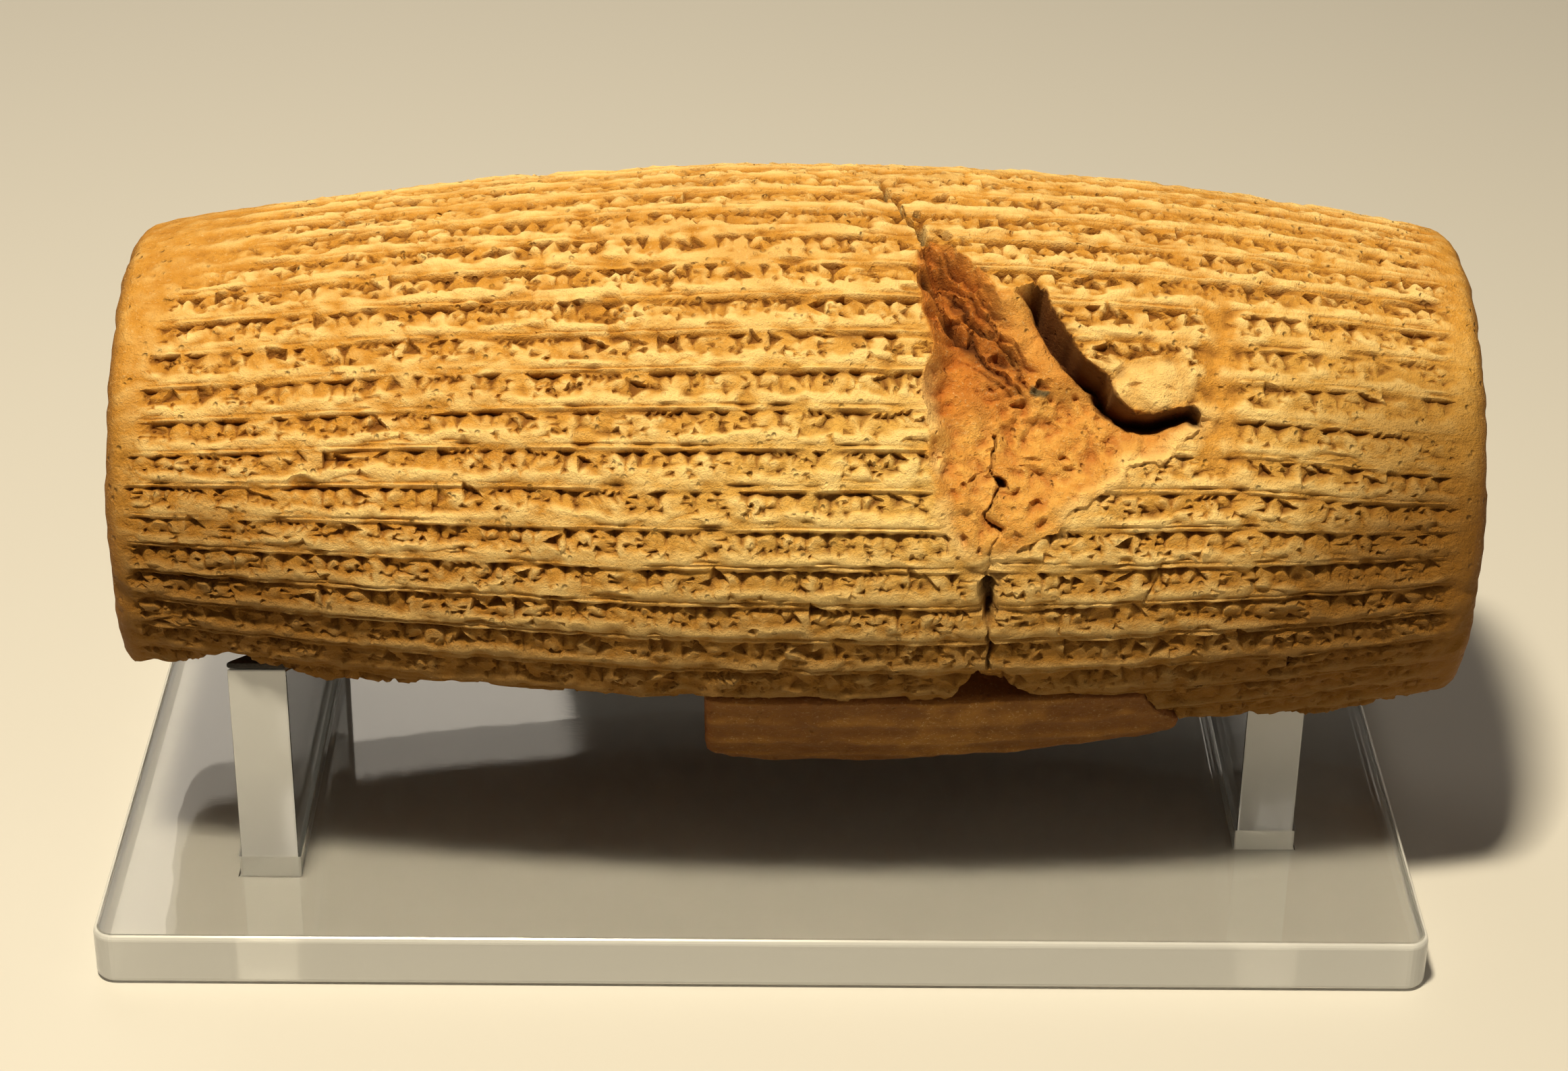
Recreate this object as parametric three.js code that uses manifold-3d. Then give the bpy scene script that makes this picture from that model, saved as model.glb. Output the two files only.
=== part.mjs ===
// An ancient clay cylinder, barrel-shaped and pressed all round with rows of wedge strokes,
// lying in a clear acrylic cradle: two upright slabs let into slots of a base plate.
//
// Millimetres, +Z up, +X along the cylinder, +Y away from the side that is shown.
// The origin is the centre of the base plate's underside.
// An angle on the clay is measured round its axis from the middle of the shown side,
// and grows upwards: 90 is the top, -90 the bottom.

import * as THREE from 'three';
import { mergeVertices } from 'three/addons/utils/BufferGeometryUtils.js';
import Module from 'manifold-3d';

const wasm = await Module();
wasm.setup();

// clay barrel
const clayLength = 219;
const bellyRadius = 51;
const leftEndRadius = 39.4;
const rightEndRadius = 40.1;
const bellyOffset = -1.7; // the widest place, from the middle of the length
const leftFullness = 1.7; // the power of the swelling: 2 is a parabola
const rightFullness = 2.2;
const endRounding = 4.5;
const endDome = 0.4;

// rows of the inscription, which run all round
const fullTurn = 360;
const rowCount = 49;
const firstRow = 0.5; // degrees: one of the grooves that the strokes hang from
const rowGroove = 0.8;
const endMargin = 8; // the bare strip at each end
const wornStripDepth = 1.2;
// a shallow strip beside the gash: shares of the half length along, degrees round
const wornStrip = { place: 0.6, half: 0.05, soft: 0.02, low: 28, high: 65, softTurn: 4 };

// break along the underside, and the fragment glued back on it
const breakStep = 2.1; // how far the broken face is set in at its edge
const breakSlope = 28; // degrees that the broken face falls towards the back
const breakRows = 16; // from the middle of the shown side to where the break is over
const jointGap = 0.35;
const fragmentTop = -20.9; // degrees
const fragmentInset = 0.3;
const fragmentTaper = 0.87; // its inner face ends higher than its outer one
const fragmentRelief = 0.4; // its rows are worn, as a share of the clay's
const fragmentLines = 7;
const fragmentLayers = 2;

// gash in the shown side
const gashDepth = 6;
const grooveDepth = 6.5; // further in, beside the tongue
const grooveSpread = 7;
const crackDepth = 3;
const crackSpread = 5;
const floorRipple = 0.7;
const rippleLength = 3.7;
const rippleTurn = 12; // degrees
const cutterReach = [0.2, 1.1]; // shares of the belly's radius

// cradle
const axisHeight = 54; // of the clay over the top of the plate
const clayShift = 4.9; // of the clay's middle from the plate's middle
const plateWidth = 215;
const plateDepth = 123;
const plateThickness = 9;
const plateCorner = 3;
const plateEdgeRound = 0.6;
const slabThickness = 9.5;
const leftSlabDepth = 76;
const leftSlabInset = 23; // its middle, from the clay's own end
const rightSlabDepth = 56.6;
const rightSlabInset = 29.6;
const slotGap = 0.3;
const restGap = 0.25;
const padThickness = 1;

const degree = Math.PI / 180;
const halfLength = clayLength / 2;
const axisLevel = plateThickness + axisHeight;
const leftSlabPlace = leftSlabInset - halfLength; // from the clay's middle
const rightSlabPlace = halfLength - rightSlabInset;
const rowAngle = fullTurn / rowCount;

// how finely the clay is faceted
const lineAngle = rowAngle / 3;
const wholeStart = firstRow - rowAngle; // degrees: the skin is whole from here up
const breakEnd = firstRow - breakRows * rowAngle; // and the break is over here, past the bottom
const faceLines = 6;
const skirtLines = 6;
const floorRings = 30;
const floorLines = 40;
const floorBackLines = 12;
const gashReach = [0.1, 0.6]; // shares of the half length
const gashTurn = [-14, 94]; // degrees

// The outlines of breaks are pairs: share of the half length, and degrees.
const breakEdge = [
	[-1, -29.5], [-0.96, -29.2], [-0.875, -23.9], [-0.823, -19.7], [-0.796, -20.4],
	[-0.784, -23.2], [-0.738, -23.7], [-0.692, -25.6], [-0.639, -23.9], [-0.475, -21.1],
	[-0.3, -21.4], [-0.128, -20], [0.225, -20.9], [0.261, -13.4], [0.29, -15.5],
	[0.347, -20.3], [0.507, -22.3], [0.53, -27.4], [0.57, -33], [0.689, -35.2], [0.763, -38],
	[0.816, -39.3], [0.895, -38.6], [0.953, -36.5], [1, -33.7],
];
const fragmentEdge = [
	[-0.132, -41.6], [-0.115, -45.5], [-0.091, -47.6], [-0.046, -50], [0.137, -50], [0.228, -47.2],
	[0.32, -45.5], [0.384, -43.3], [0.53, -41], [0.556, -39.4], [0.57, -36.2],
];
const gashOutline = [
	[0.131, 89.2], [0.16, 81.5], [0.183, 74.5], [0.255, 75.3], [0.262, 73], [0.205, 71],
	[0.27, 66], [0.277, 61.5], [0.329, 62.9], [0.352, 60], [0.382, 50.5], [0.405, 45.5],
	[0.444, 38.6], [0.484, 35.9], [0.542, 35.2], [0.564, 38.5], [0.566, 31.5], [0.539, 28.1],
	[0.473, 26.7], [0.456, 23.1], [0.382, 17.5], [0.359, 14.6], [0.283, 11.2], [0.279, 5.6],
	[0.281, 1], [0.287, -10.5], [0.279, -10.5], [0.268, -1.5], [0.264, 5.6], [0.259, 10.6],
	[0.227, 11.2], [0.192, 21.1], [0.187, 28.1], [0.17, 40.4], [0.192, 49.2], [0.174, 56.2],
	[0.182, 70.8], [0.158, 76.5], [0.142, 82],
];
const grooveLine = [[0.335, 62], [0.375, 49], [0.45, 37.5], [0.555, 34.2]];
const crackLine = [[0.277, 33], [0.272, 24], [0.272, 9], [0.281, -8]];

const clayMaterial = new THREE.MeshStandardMaterial({ color: 0xc48a3f, roughness: 0.85, metalness: 0 });
const fragmentMaterial = new THREE.MeshStandardMaterial({ color: 0x8a5a2a, roughness: 0.88, metalness: 0 });
const acrylicMaterial = new THREE.MeshStandardMaterial({ color: 0xe8f0ee, roughness: 0.04, metalness: 0 });
const padMaterial = new THREE.MeshStandardMaterial({ color: 0x15120f, roughness: 0.95, metalness: 0 });

const clamp = THREE.MathUtils.clamp;
const mix = THREE.MathUtils.lerp;
const smooth = THREE.MathUtils.smoothstep;

function alongLine(line, share) {
	const last = line.length - 1;
	if (share <= line[0][0]) return line[0][1];
	for (let k = 0; k < last; k += 1) {
		const [a, from] = line[k];
		const [b, to] = line[k + 1];
		if (share <= b) return mix(from, to, (share - a) / (b - a));
	}
	return line[last][1];
}

// Distance on the clay's skin, in mm, from a place to a line of pairs.
function distanceTo(line, x, angle) {
	const place = new THREE.Vector2(x, angle * degree * bellyRadius);
	const corners = line.map(([share, turn]) => new THREE.Vector2(share * halfLength, turn * degree * bellyRadius));
	let nearest = Infinity;
	for (let k = 0; k < corners.length - 1; k += 1) {
		const span = corners[k + 1].clone().sub(corners[k]);
		const along = clamp(place.clone().sub(corners[k]).dot(span) / span.lengthSq(), 0, 1);
		nearest = Math.min(nearest, place.distanceTo(corners[k].clone().addScaledVector(span, along)));
	}
	return nearest;
}

// The barrel's radius before any wear, by the distance from its middle.
function barrelRadius(x) {
	const offset = x - bellyOffset;
	const left = offset < 0;
	const reach = left ? halfLength + bellyOffset : halfLength - bellyOffset;
	const share = clamp(Math.abs(offset) / reach, 0, 1);
	const endRadius = left ? leftEndRadius : rightEndRadius;
	const fullness = left ? leftFullness : rightFullness;
	return endRadius + (bellyRadius - endRadius) * (1 - share ** fullness);
}

// The grooves between the rows run all round, and fade towards the ends.
function rowRelief(x, angle) {
	const fade = smooth(halfLength - Math.abs(x), endMargin * 0.6, endMargin * 1.4);
	const wave = 0.5 + 0.5 * Math.cos(((angle - firstRow) / rowAngle) * Math.PI * 2);
	return -rowGroove * wave * fade;
}

function wornRelief(x, angle) {
	const { place, half, soft, low, high, softTurn } = wornStrip;
	const across = 1 - smooth(Math.abs(x / halfLength - place), half - soft, half + soft);
	const along = smooth(angle, low - softTurn, low + softTurn) * (1 - smooth(angle, high - softTurn, high + softTurn));
	return -wornStripDepth * across * along;
}

// The broken face is a chord of the section, this far from the axis.
function breakDistance(x) {
	const edge = -alongLine(breakEdge, x / halfLength);
	return barrelRadius(x) * Math.sin((edge + breakSlope) * degree) - breakStep;
}

function brokenRadius(x, angle) {
	const tilt = Math.sin((-angle + breakSlope) * degree);
	return tilt > 0 ? Math.min(barrelRadius(x), breakDistance(x) / tilt) : barrelRadius(x);
}

// How low the clay reaches in one section, at a distance y behind its axis.
function undersideLevel(x, y) {
	const radius = barrelRadius(x);
	const round = -Math.sqrt(Math.max(radius * radius - y * y, 0));
	const chord = -(breakDistance(x) + y * Math.sin(breakSlope * degree)) / Math.cos(breakSlope * degree);
	const step = y * Math.tan(-alongLine(breakEdge, x / halfLength) * degree);
	return Math.max(round, y < 0 ? Math.min(chord, step) : chord);
}

function solidOf(geometry) {
	const bare = geometry.clone();
	bare.deleteAttribute('normal');
	bare.deleteAttribute('uv');
	const merged = mergeVertices(bare, 1e-4);
	const triVerts = [];
	const index = merged.index.array;
	for (let k = 0; k < index.length; k += 3) {
		const [a, b, c] = [index[k], index[k + 1], index[k + 2]];
		if (a !== b && b !== c && c !== a) triVerts.push(a, b, c);
	}
	return new wasm.Manifold(new wasm.Mesh({
		numProp: 3,
		vertProperties: new Float32Array(merged.attributes.position.array),
		triVerts: new Uint32Array(triVerts),
	}));
}

function geometryOf(solid) {
	const mesh = solid.getMesh();
	const geometry = new THREE.BufferGeometry();
	geometry.setAttribute('position', new THREE.BufferAttribute(new Float32Array(mesh.vertProperties), 3));
	geometry.setIndex(new THREE.BufferAttribute(new Uint32Array(mesh.triVerts), 1));
	geometry.computeVertexNormals();
	return geometry;
}

// Stations along the clay: each end's pole and rounded rim, and every corner of the break between.
function stations() {
	const rim = (side) => [[0, endDome, 1], [endRounding, 0, 1], [endRounding * 0.3, endRounding * 0.3, 0], [0, endRounding, 0]]
		.map(([inset, back, face], k) => ({ x: side * (halfLength - (k ? Math.max(back, face * endDome) : 0)), inset, pole: k === 0 }));
	const inner = breakEdge.map(([share]) => share * halfLength)
		.filter((x) => Math.abs(x) < halfLength - endRounding * 1.5)
		.map((x) => ({ x, inset: 0, pole: false }));
	return [...rim(-1), ...inner, ...rim(1).reverse()];
}

// A closed body turned round the X axis: one ring of the clay per station, one line along it per entry of lines.
function turnedBody(along, lines, angleAt, radiusAt) {
	const geometry = new THREE.LatheGeometry(along.map(({ x }) => new THREE.Vector2(1, x)), lines.length);
	const position = geometry.attributes.position;
	for (let turn = 0; turn <= lines.length; turn += 1) {
		const line = lines[turn % lines.length];
		along.forEach(({ x, inset, pole }, k) => {
			const angle = angleAt(x, line);
			const radius = pole ? 0 : radiusAt(x, angle, line) - inset;
			const [y, z] = [-radius * Math.cos(angle * degree), radius * Math.sin(angle * degree)];
			position.setXYZ(turn * along.length + k, x, y, z);
		});
	}
	return geometry;
}

// The lines along the clay, upwards round it. From the whole skin's lowest line they keep their angles, three to a row,
// and under it they close up or spread so that one pair always lies on the broken edge.
function clayLines() {
	const wholeCount = Math.round((fullTurn + breakEnd - wholeStart) / lineAngle);
	const whole = Array.from({ length: wholeCount }, (_, k) => ({ from: wholeStart + k * lineAngle, share: 0, broken: false }));
	const face = Array.from({ length: faceLines + 1 }, (_, k) => ({ from: breakEnd, share: k / faceLines, broken: true }));
	const skirt = Array.from({ length: skirtLines }, (_, k) => ({ from: wholeStart, share: 1 - k / skirtLines, broken: false }));
	return [...whole, ...face, ...skirt];
}

function clayAngle(x, { from, share }) {
	return mix(from, alongLine(breakEdge, x / halfLength), share);
}

function clayRadius(x, angle, { broken }) {
	const whole = barrelRadius(x) + rowRelief(x, angle) + wornRelief(x, angle);
	return broken ? Math.min(brokenRadius(x, angle), whole) : whole;
}

// The floor of the gash, rough and deepest beside the tongue and along the crack.
function gashFloor(x, angle) {
	const groove = 1 - smooth(distanceTo(grooveLine, x, angle), grooveSpread * 0.15, grooveSpread);
	const crack = 1 - smooth(distanceTo(crackLine, x, angle), crackSpread * 0.1, crackSpread);
	const [nearby, farther] = [x / rippleLength, angle / rippleTurn];
	const rough = Math.sin(Math.PI * (2 * nearby + farther)) * Math.sin(Math.PI * (2 * farther - nearby * 0.5));
	const floor = mix(crackDepth, gashDepth, smooth(angle, 6, 34));
	return barrelRadius(x) - floor - grooveDepth * groove - crackDepth * crack - floorRipple * rough;
}

function floorBody() {
	const [fromX, toX] = gashReach.map((share) => share * halfLength);
	const [low, high] = gashTurn;
	const ends = (x) => ({ x, inset: 0, pole: true });
	const rings = Array.from({ length: floorRings + 1 }, (_, k) => ({ x: mix(toX, fromX, k / floorRings), inset: 0, pole: false }));
	// the lines crowd into the gash's own stretch of the round
	const inside = Array.from({ length: floorLines }, (_, k) => mix(low, high, k / floorLines));
	const outside = Array.from({ length: floorBackLines }, (_, k) => mix(high, low + fullTurn, k / floorBackLines));
	return solidOf(turnedBody([ends(toX), ...rings, ends(fromX)], [...inside, ...outside], (x, line) => line, gashFloor));
}

// The gash is cut straight in, square to the clay at the outline's middle.
function gashCutter() {
	const turns = gashOutline.map(([, angle]) => angle);
	const middle = (Math.max(...turns) + Math.min(...turns)) / 2;
	const shape = new THREE.Shape(gashOutline.map(([share, angle]) => {
		const x = share * halfLength;
		return new THREE.Vector2(x, barrelRadius(x) * Math.sin((angle - middle) * degree));
	}));
	const [inner, outer] = cutterReach.map((share) => share * bellyRadius);
	const geometry = new THREE.ExtrudeGeometry(shape, { depth: outer - inner, bevelEnabled: false });
	const across = new THREE.Vector3(0, Math.sin(middle * degree), Math.cos(middle * degree));
	const outward = new THREE.Vector3(0, -Math.cos(middle * degree), Math.sin(middle * degree));
	geometry.translate(0, 0, inner);
	geometry.applyMatrix4(new THREE.Matrix4().makeBasis(new THREE.Vector3(1, 0, 0), across, outward));
	return solidOf(geometry);
}

function clayCylinder() {
	const barrel = solidOf(turnedBody(stations().reverse(), clayLines(), clayAngle, clayRadius));
	const removed = gashCutter().subtract(floorBody());
	return geometryOf(barrel.subtract(removed));
}

// The fragment fills the break from its step to its own lower edge. It has a corner wherever the break has one.
function joinedFragment() {
	const from = fragmentEdge[0][0];
	const to = fragmentEdge[fragmentEdge.length - 1][0];
	const shares = [...new Set([...breakEdge, ...fragmentEdge].map(([share]) => share))]
		.filter((share) => share >= from && share <= to)
		.sort((a, b) => a - b);
	const columns = shares.length - 1;
	const geometry = new THREE.BoxGeometry(1, 1, 1, columns, fragmentLines, fragmentLayers);
	const position = geometry.attributes.position;
	const gapAngle = jointGap / (bellyRadius * degree);
	for (let k = 0; k < position.count; k += 1) {
		const x = shares[Math.round((position.getX(k) + 0.5) * columns)] * halfLength;
		const outward = position.getZ(k) + 0.5;
		const top = Math.min(alongLine(breakEdge, x / halfLength), fragmentTop) - gapAngle;
		const low = alongLine(fragmentEdge, x / halfLength);
		const foot = mix(Math.min(low * fragmentTaper, top - gapAngle * 4), low, outward);
		const angle = mix(foot, top, position.getY(k) + 0.5);
		const skin = barrelRadius(x) - fragmentInset + rowRelief(x, angle) * fragmentRelief;
		const seat = brokenRadius(x, angle) + jointGap;
		const radius = mix(seat, skin, outward);
		position.setXYZ(k, x, -radius * Math.cos(angle * degree), radius * Math.sin(angle * degree));
	}
	return geometryOf(solidOf(geometry));
}

// The saddle follows the lowest reach of the clay over the slab's thickness.
function saddleLevel(place, y) {
	const samples = 12;
	let level = Infinity;
	for (let k = 0; k <= samples; k += 1) {
		const x = place + slabThickness * (k / samples - 0.5);
		level = Math.min(level, undersideLevel(x, y));
	}
	return level;
}

function saddleCurve(place, depth, drop) {
	const steps = 28;
	return Array.from({ length: steps + 1 }, (_, k) => {
		const y = mix(-depth / 2, depth / 2, k / steps);
		return new THREE.Vector2(y, saddleLevel(place, y) - drop);
	});
}

// A section in Y and Z, given from the clay's axis, as a slab across X.
function acrossX(points, place, thickness) {
	const geometry = new THREE.ExtrudeGeometry(new THREE.Shape(points), { depth: thickness, bevelEnabled: false });
	geometry.applyMatrix4(new THREE.Matrix4().makeBasis(
		new THREE.Vector3(0, 1, 0), new THREE.Vector3(0, 0, 1), new THREE.Vector3(1, 0, 0),
	));
	geometry.translate(place - thickness / 2, 0, 0);
	return geometryOf(solidOf(geometry));
}

function supportSlab(place, depth, drop) {
	const saddle = saddleCurve(place, depth, drop);
	const foot = [new THREE.Vector2(depth / 2, -axisLevel), new THREE.Vector2(-depth / 2, -axisLevel)];
	return acrossX([...saddle, ...foot], place, slabThickness);
}

function saddlePad(place, depth) {
	const upper = saddleCurve(place, depth, restGap);
	const lower = saddleCurve(place, depth, restGap + padThickness).reverse();
	return acrossX([...upper, ...lower], place, slabThickness);
}

function roundedRectangle(target, width, depth, corner) {
	const [w, d] = [width / 2, depth / 2];
	target.moveTo(-w + corner, -d);
	target.lineTo(w - corner, -d);
	target.absarc(w - corner, -d + corner, corner, -Math.PI / 2, 0);
	target.lineTo(w, d - corner);
	target.absarc(w - corner, d - corner, corner, 0, Math.PI / 2);
	target.lineTo(-w + corner, d);
	target.absarc(-w + corner, d - corner, corner, Math.PI / 2, Math.PI);
	target.lineTo(-w, -d + corner);
	target.absarc(-w + corner, -d + corner, corner, Math.PI, Math.PI * 1.5);
	return target;
}

function basePlate() {
	const outline = roundedRectangle(
		new THREE.Shape(), plateWidth - 2 * plateEdgeRound, plateDepth - 2 * plateEdgeRound, plateCorner,
	);
	const plate = solidOf(new THREE.ExtrudeGeometry(outline, {
		depth: plateThickness - 2 * plateEdgeRound,
		bevelEnabled: true,
		bevelThickness: plateEdgeRound,
		bevelSize: plateEdgeRound,
		bevelSegments: 1,
		curveSegments: 4,
	}).translate(0, 0, plateEdgeRound));
	const slots = [[leftSlabPlace, leftSlabDepth], [rightSlabPlace, rightSlabDepth]].map(([place, depth]) => solidOf(
		new THREE.BoxGeometry(slabThickness + 2 * slotGap, depth + 2 * slotGap, plateThickness * 3)
			.translate(clayShift + place, 0, 0),
	));
	return geometryOf(slots.reduce((left, slot) => left.subtract(slot), plate));
}

function named(name, geometry, material) {
	const mesh = new THREE.Mesh(geometry, material);
	mesh.name = name;
	return mesh;
}

// Everything shaped to the clay is placed from the clay's own axis.
const onAxis = new THREE.Group();
onAxis.position.set(clayShift, 0, axisLevel);
onAxis.add(
	named('clay_cylinder', clayCylinder(), clayMaterial),
	named('joined_fragment', joinedFragment(), fragmentMaterial),
	named('left_support', supportSlab(leftSlabPlace, leftSlabDepth, padThickness + 2 * restGap), acrylicMaterial),
	named('right_support', supportSlab(rightSlabPlace, rightSlabDepth, restGap), acrylicMaterial),
	named('left_support_pad', saddlePad(leftSlabPlace, leftSlabDepth), padMaterial),
);

const model = new THREE.Group();
model.add(onAxis, named('base_plate', basePlate(), acrylicMaterial));

export default model;
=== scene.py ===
# Looks of an ancient clay cylinder: a barrel of clay pressed all round with rows of wedge strokes,
# with a gash in its shown side and a glued fragment below, lying in a clear acrylic cradle.
# Sizes in the dictionaries are in millimetres. Objects are in metres, in the frame of the part.
# A place on the clay is its distance from the middle of the length, and the way up round it from
# the middle of the shown side, in degrees or as an arc in mm at the belly's radius.

import math

import bmesh
import bpy
import numpy as np
from mathutils import Matrix, Vector


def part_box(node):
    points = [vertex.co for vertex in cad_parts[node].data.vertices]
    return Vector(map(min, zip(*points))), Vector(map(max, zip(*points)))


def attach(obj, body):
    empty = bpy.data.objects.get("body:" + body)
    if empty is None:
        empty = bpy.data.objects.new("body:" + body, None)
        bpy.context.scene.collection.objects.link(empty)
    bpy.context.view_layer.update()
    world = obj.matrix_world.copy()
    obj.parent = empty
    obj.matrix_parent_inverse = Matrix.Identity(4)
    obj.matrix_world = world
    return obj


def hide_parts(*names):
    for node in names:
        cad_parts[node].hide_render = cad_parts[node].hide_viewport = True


mm = 0.001

print("Loading the frame")
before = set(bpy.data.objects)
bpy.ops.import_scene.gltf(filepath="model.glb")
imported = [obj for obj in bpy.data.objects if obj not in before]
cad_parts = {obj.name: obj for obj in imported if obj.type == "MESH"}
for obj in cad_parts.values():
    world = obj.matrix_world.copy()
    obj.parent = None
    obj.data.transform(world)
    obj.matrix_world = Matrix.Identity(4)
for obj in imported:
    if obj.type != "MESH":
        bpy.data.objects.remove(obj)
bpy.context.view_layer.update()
clayLow, clayHigh = (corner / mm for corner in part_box("clay_cylinder"))
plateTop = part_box("base_plate")[1].z / mm


# Small helpers

class Field:
    # a node's output that takes arithmetic, so that a rule reads as a formula
    def __init__(self, tree, socket):
        self.tree = tree
        self.socket = socket

    def math(self, operation, *others):
        node = self.tree.nodes.new("ShaderNodeMath")
        node.operation = operation
        for slot, value in zip(node.inputs, (self, *others)):
            plug(value, slot)
        return Field(self.tree, node.outputs[0])

    def __add__(self, other):
        return self.math("ADD", other)

    def __sub__(self, other):
        return self.math("SUBTRACT", other)

    def __mul__(self, other):
        return self.math("MULTIPLY", other)

    def __truediv__(self, other):
        return self.math("DIVIDE", other)

    def __pow__(self, other):
        return self.math("POWER", other)

    def atLeast(self, other):
        return self.math("MAXIMUM", other)

    def atMost(self, other):
        return self.math("MINIMUM", other)


def plug(value, slot):
    if isinstance(value, Field):
        value.tree.links.new(value.socket, slot)
    elif isinstance(value, bpy.types.NodeSocket):
        slot.id_data.links.new(value, slot)
    else:
        slot.default_value = value


def setInputs(node, values):
    for name, value in values.items():
        plug(value, node.inputs[name])


def addNode(tree, kind, values=None, **settings):
    node = tree.nodes.new(kind)
    for name, value in settings.items():
        setattr(node, name, value)
    setInputs(node, values or {})
    return node


def newSocket(tree, name, kind, default=None, way="INPUT"):
    socket = tree.interface.new_socket(name, in_out=way, socket_type="NodeSocket" + kind)
    if default is not None:
        socket.default_value = default
    return socket


def newObject(name, data):
    piece = bpy.data.objects.new(name, data)
    bpy.context.scene.collection.objects.link(piece)
    return piece


def bakeModifiers(piece):
    # the evaluated shape as a plain mesh, with the modifiers gone
    depsgraph = bpy.context.evaluated_depsgraph_get()
    mesh = bpy.data.meshes.new_from_object(piece.evaluated_get(depsgraph))
    piece.modifiers.clear()
    piece.data = mesh
    return piece


def points(mesh):
    flat = np.empty(len(mesh.vertices) * 3, np.float32)
    mesh.vertices.foreach_get("co", flat)
    return flat.reshape(-1, 3).astype(float)


def setPoints(mesh, places):
    mesh.vertices.foreach_set("co", places.astype(np.float32).ravel())
    mesh.update()


def readAttribute(mesh, name):
    values = np.empty(len(mesh.vertices), np.float32)
    mesh.attributes[name].data.foreach_get("value", values)
    return values.astype(float)


def writeAttribute(mesh, name, values):
    found = mesh.attributes.get(name) or mesh.attributes.new(name, "FLOAT", "POINT")
    found.data.foreach_set("value", values.astype(np.float32))


def smooth(value, low, high):
    share = np.clip((value - low) / (high - low), 0, 1)
    return share * share * (3 - 2 * share)


def mix(a, b, share):
    return a + (b - a) * share


# The clay's own form

clay = {
    "length": clayHigh.x - clayLow.x,
    "middle": (clayLow.x + clayHigh.x) / 2,
    "axisLevel": plateTop + 54.0,
    "bellyRadius": 51.0,
    "leftEndRadius": 39.4,
    "rightEndRadius": 40.1,
    "bellyOffset": -1.7,
    "leftFullness": 1.7,
    "rightFullness": 2.2,
    "endRounding": 4.5,
    "endDome": 0.4,
    "capSteps": 8.0,          # the end faces are that much coarser than the side
    "fineFrom": -58.0,        # degrees: the shown side has the finest mesh
    "fineTo": 116.0,
    "fineShare": 0.73,
    "stations": 820,
    "lines": 690,
    "mostTriangles": 194000,
    "sink": 0.48,             # keeps the rows' crests inside the plain solid
    "highest": 0.02,          # of the relief, before it sinks
    "creaseOver": 38.0,       # degrees: a fold sharper than that stays a crease
    "rowCount": 49,
    "firstRow": 0.5,          # degrees
    "breakStep": 2.1,
    "breakSlope": 28.0,       # degrees
    "breakTo": -150.0,        # degrees: the broken face is over by there
    "breakLoss": 0.35,        # how far the rough face lies below the plain one
}
half = clay["length"] / 2
arcPerDegree = math.radians(1) * clay["bellyRadius"]
rowAngle = 360 / clay["rowCount"]
rowPitch = rowAngle * arcPerDegree

# share of the half length, degrees: the broken edge along the underside, and the fragment's lower edge
breakEdge = np.array([
    [-1, -29.5], [-0.96, -29.2], [-0.875, -23.9], [-0.823, -19.7], [-0.796, -20.4],
    [-0.784, -23.2], [-0.738, -23.7], [-0.692, -25.6], [-0.639, -23.9], [-0.475, -21.1],
    [-0.3, -21.4], [-0.128, -20], [0.225, -20.9], [0.261, -13.4], [0.29, -15.5],
    [0.347, -20.3], [0.507, -22.3], [0.53, -27.4], [0.57, -33], [0.689, -35.2], [0.763, -38],
    [0.816, -39.3], [0.895, -38.6], [0.953, -36.5], [1, -33.7],
])
fragmentEdge = np.array([
    [-0.132, -41.6], [-0.115, -45.5], [-0.091, -47.6], [-0.046, -50], [0.137, -50], [0.228, -47.2],
    [0.32, -45.5], [0.384, -43.3], [0.53, -41], [0.556, -39.4], [0.57, -36.2],
])


def alongLine(line, x):
    return np.interp(x, line[:, 0] * half, line[:, 1])


def barrelRadius(x):
    offset = x - clay["bellyOffset"]
    left = np.clip(-offset / (half + clay["bellyOffset"]), 0, 1)
    right = np.clip(offset / (half - clay["bellyOffset"]), 0, 1)
    leftFall = (clay["bellyRadius"] - clay["leftEndRadius"]) * left ** clay["leftFullness"]
    rightFall = (clay["bellyRadius"] - clay["rightEndRadius"]) * right ** clay["rightFullness"]
    return clay["bellyRadius"] - leftFall - rightFall


def brokenRadius(x, angle):
    # the broken face is a chord of the section
    edge = -alongLine(breakEdge, x)
    reach = barrelRadius(x) * np.sin(np.radians(edge + clay["breakSlope"])) - clay["breakStep"]
    tilt = np.sin(np.radians(-angle + clay["breakSlope"]))
    return np.where(tilt > 0.05, reach / np.maximum(tilt, 0.05), 1e3)


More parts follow.
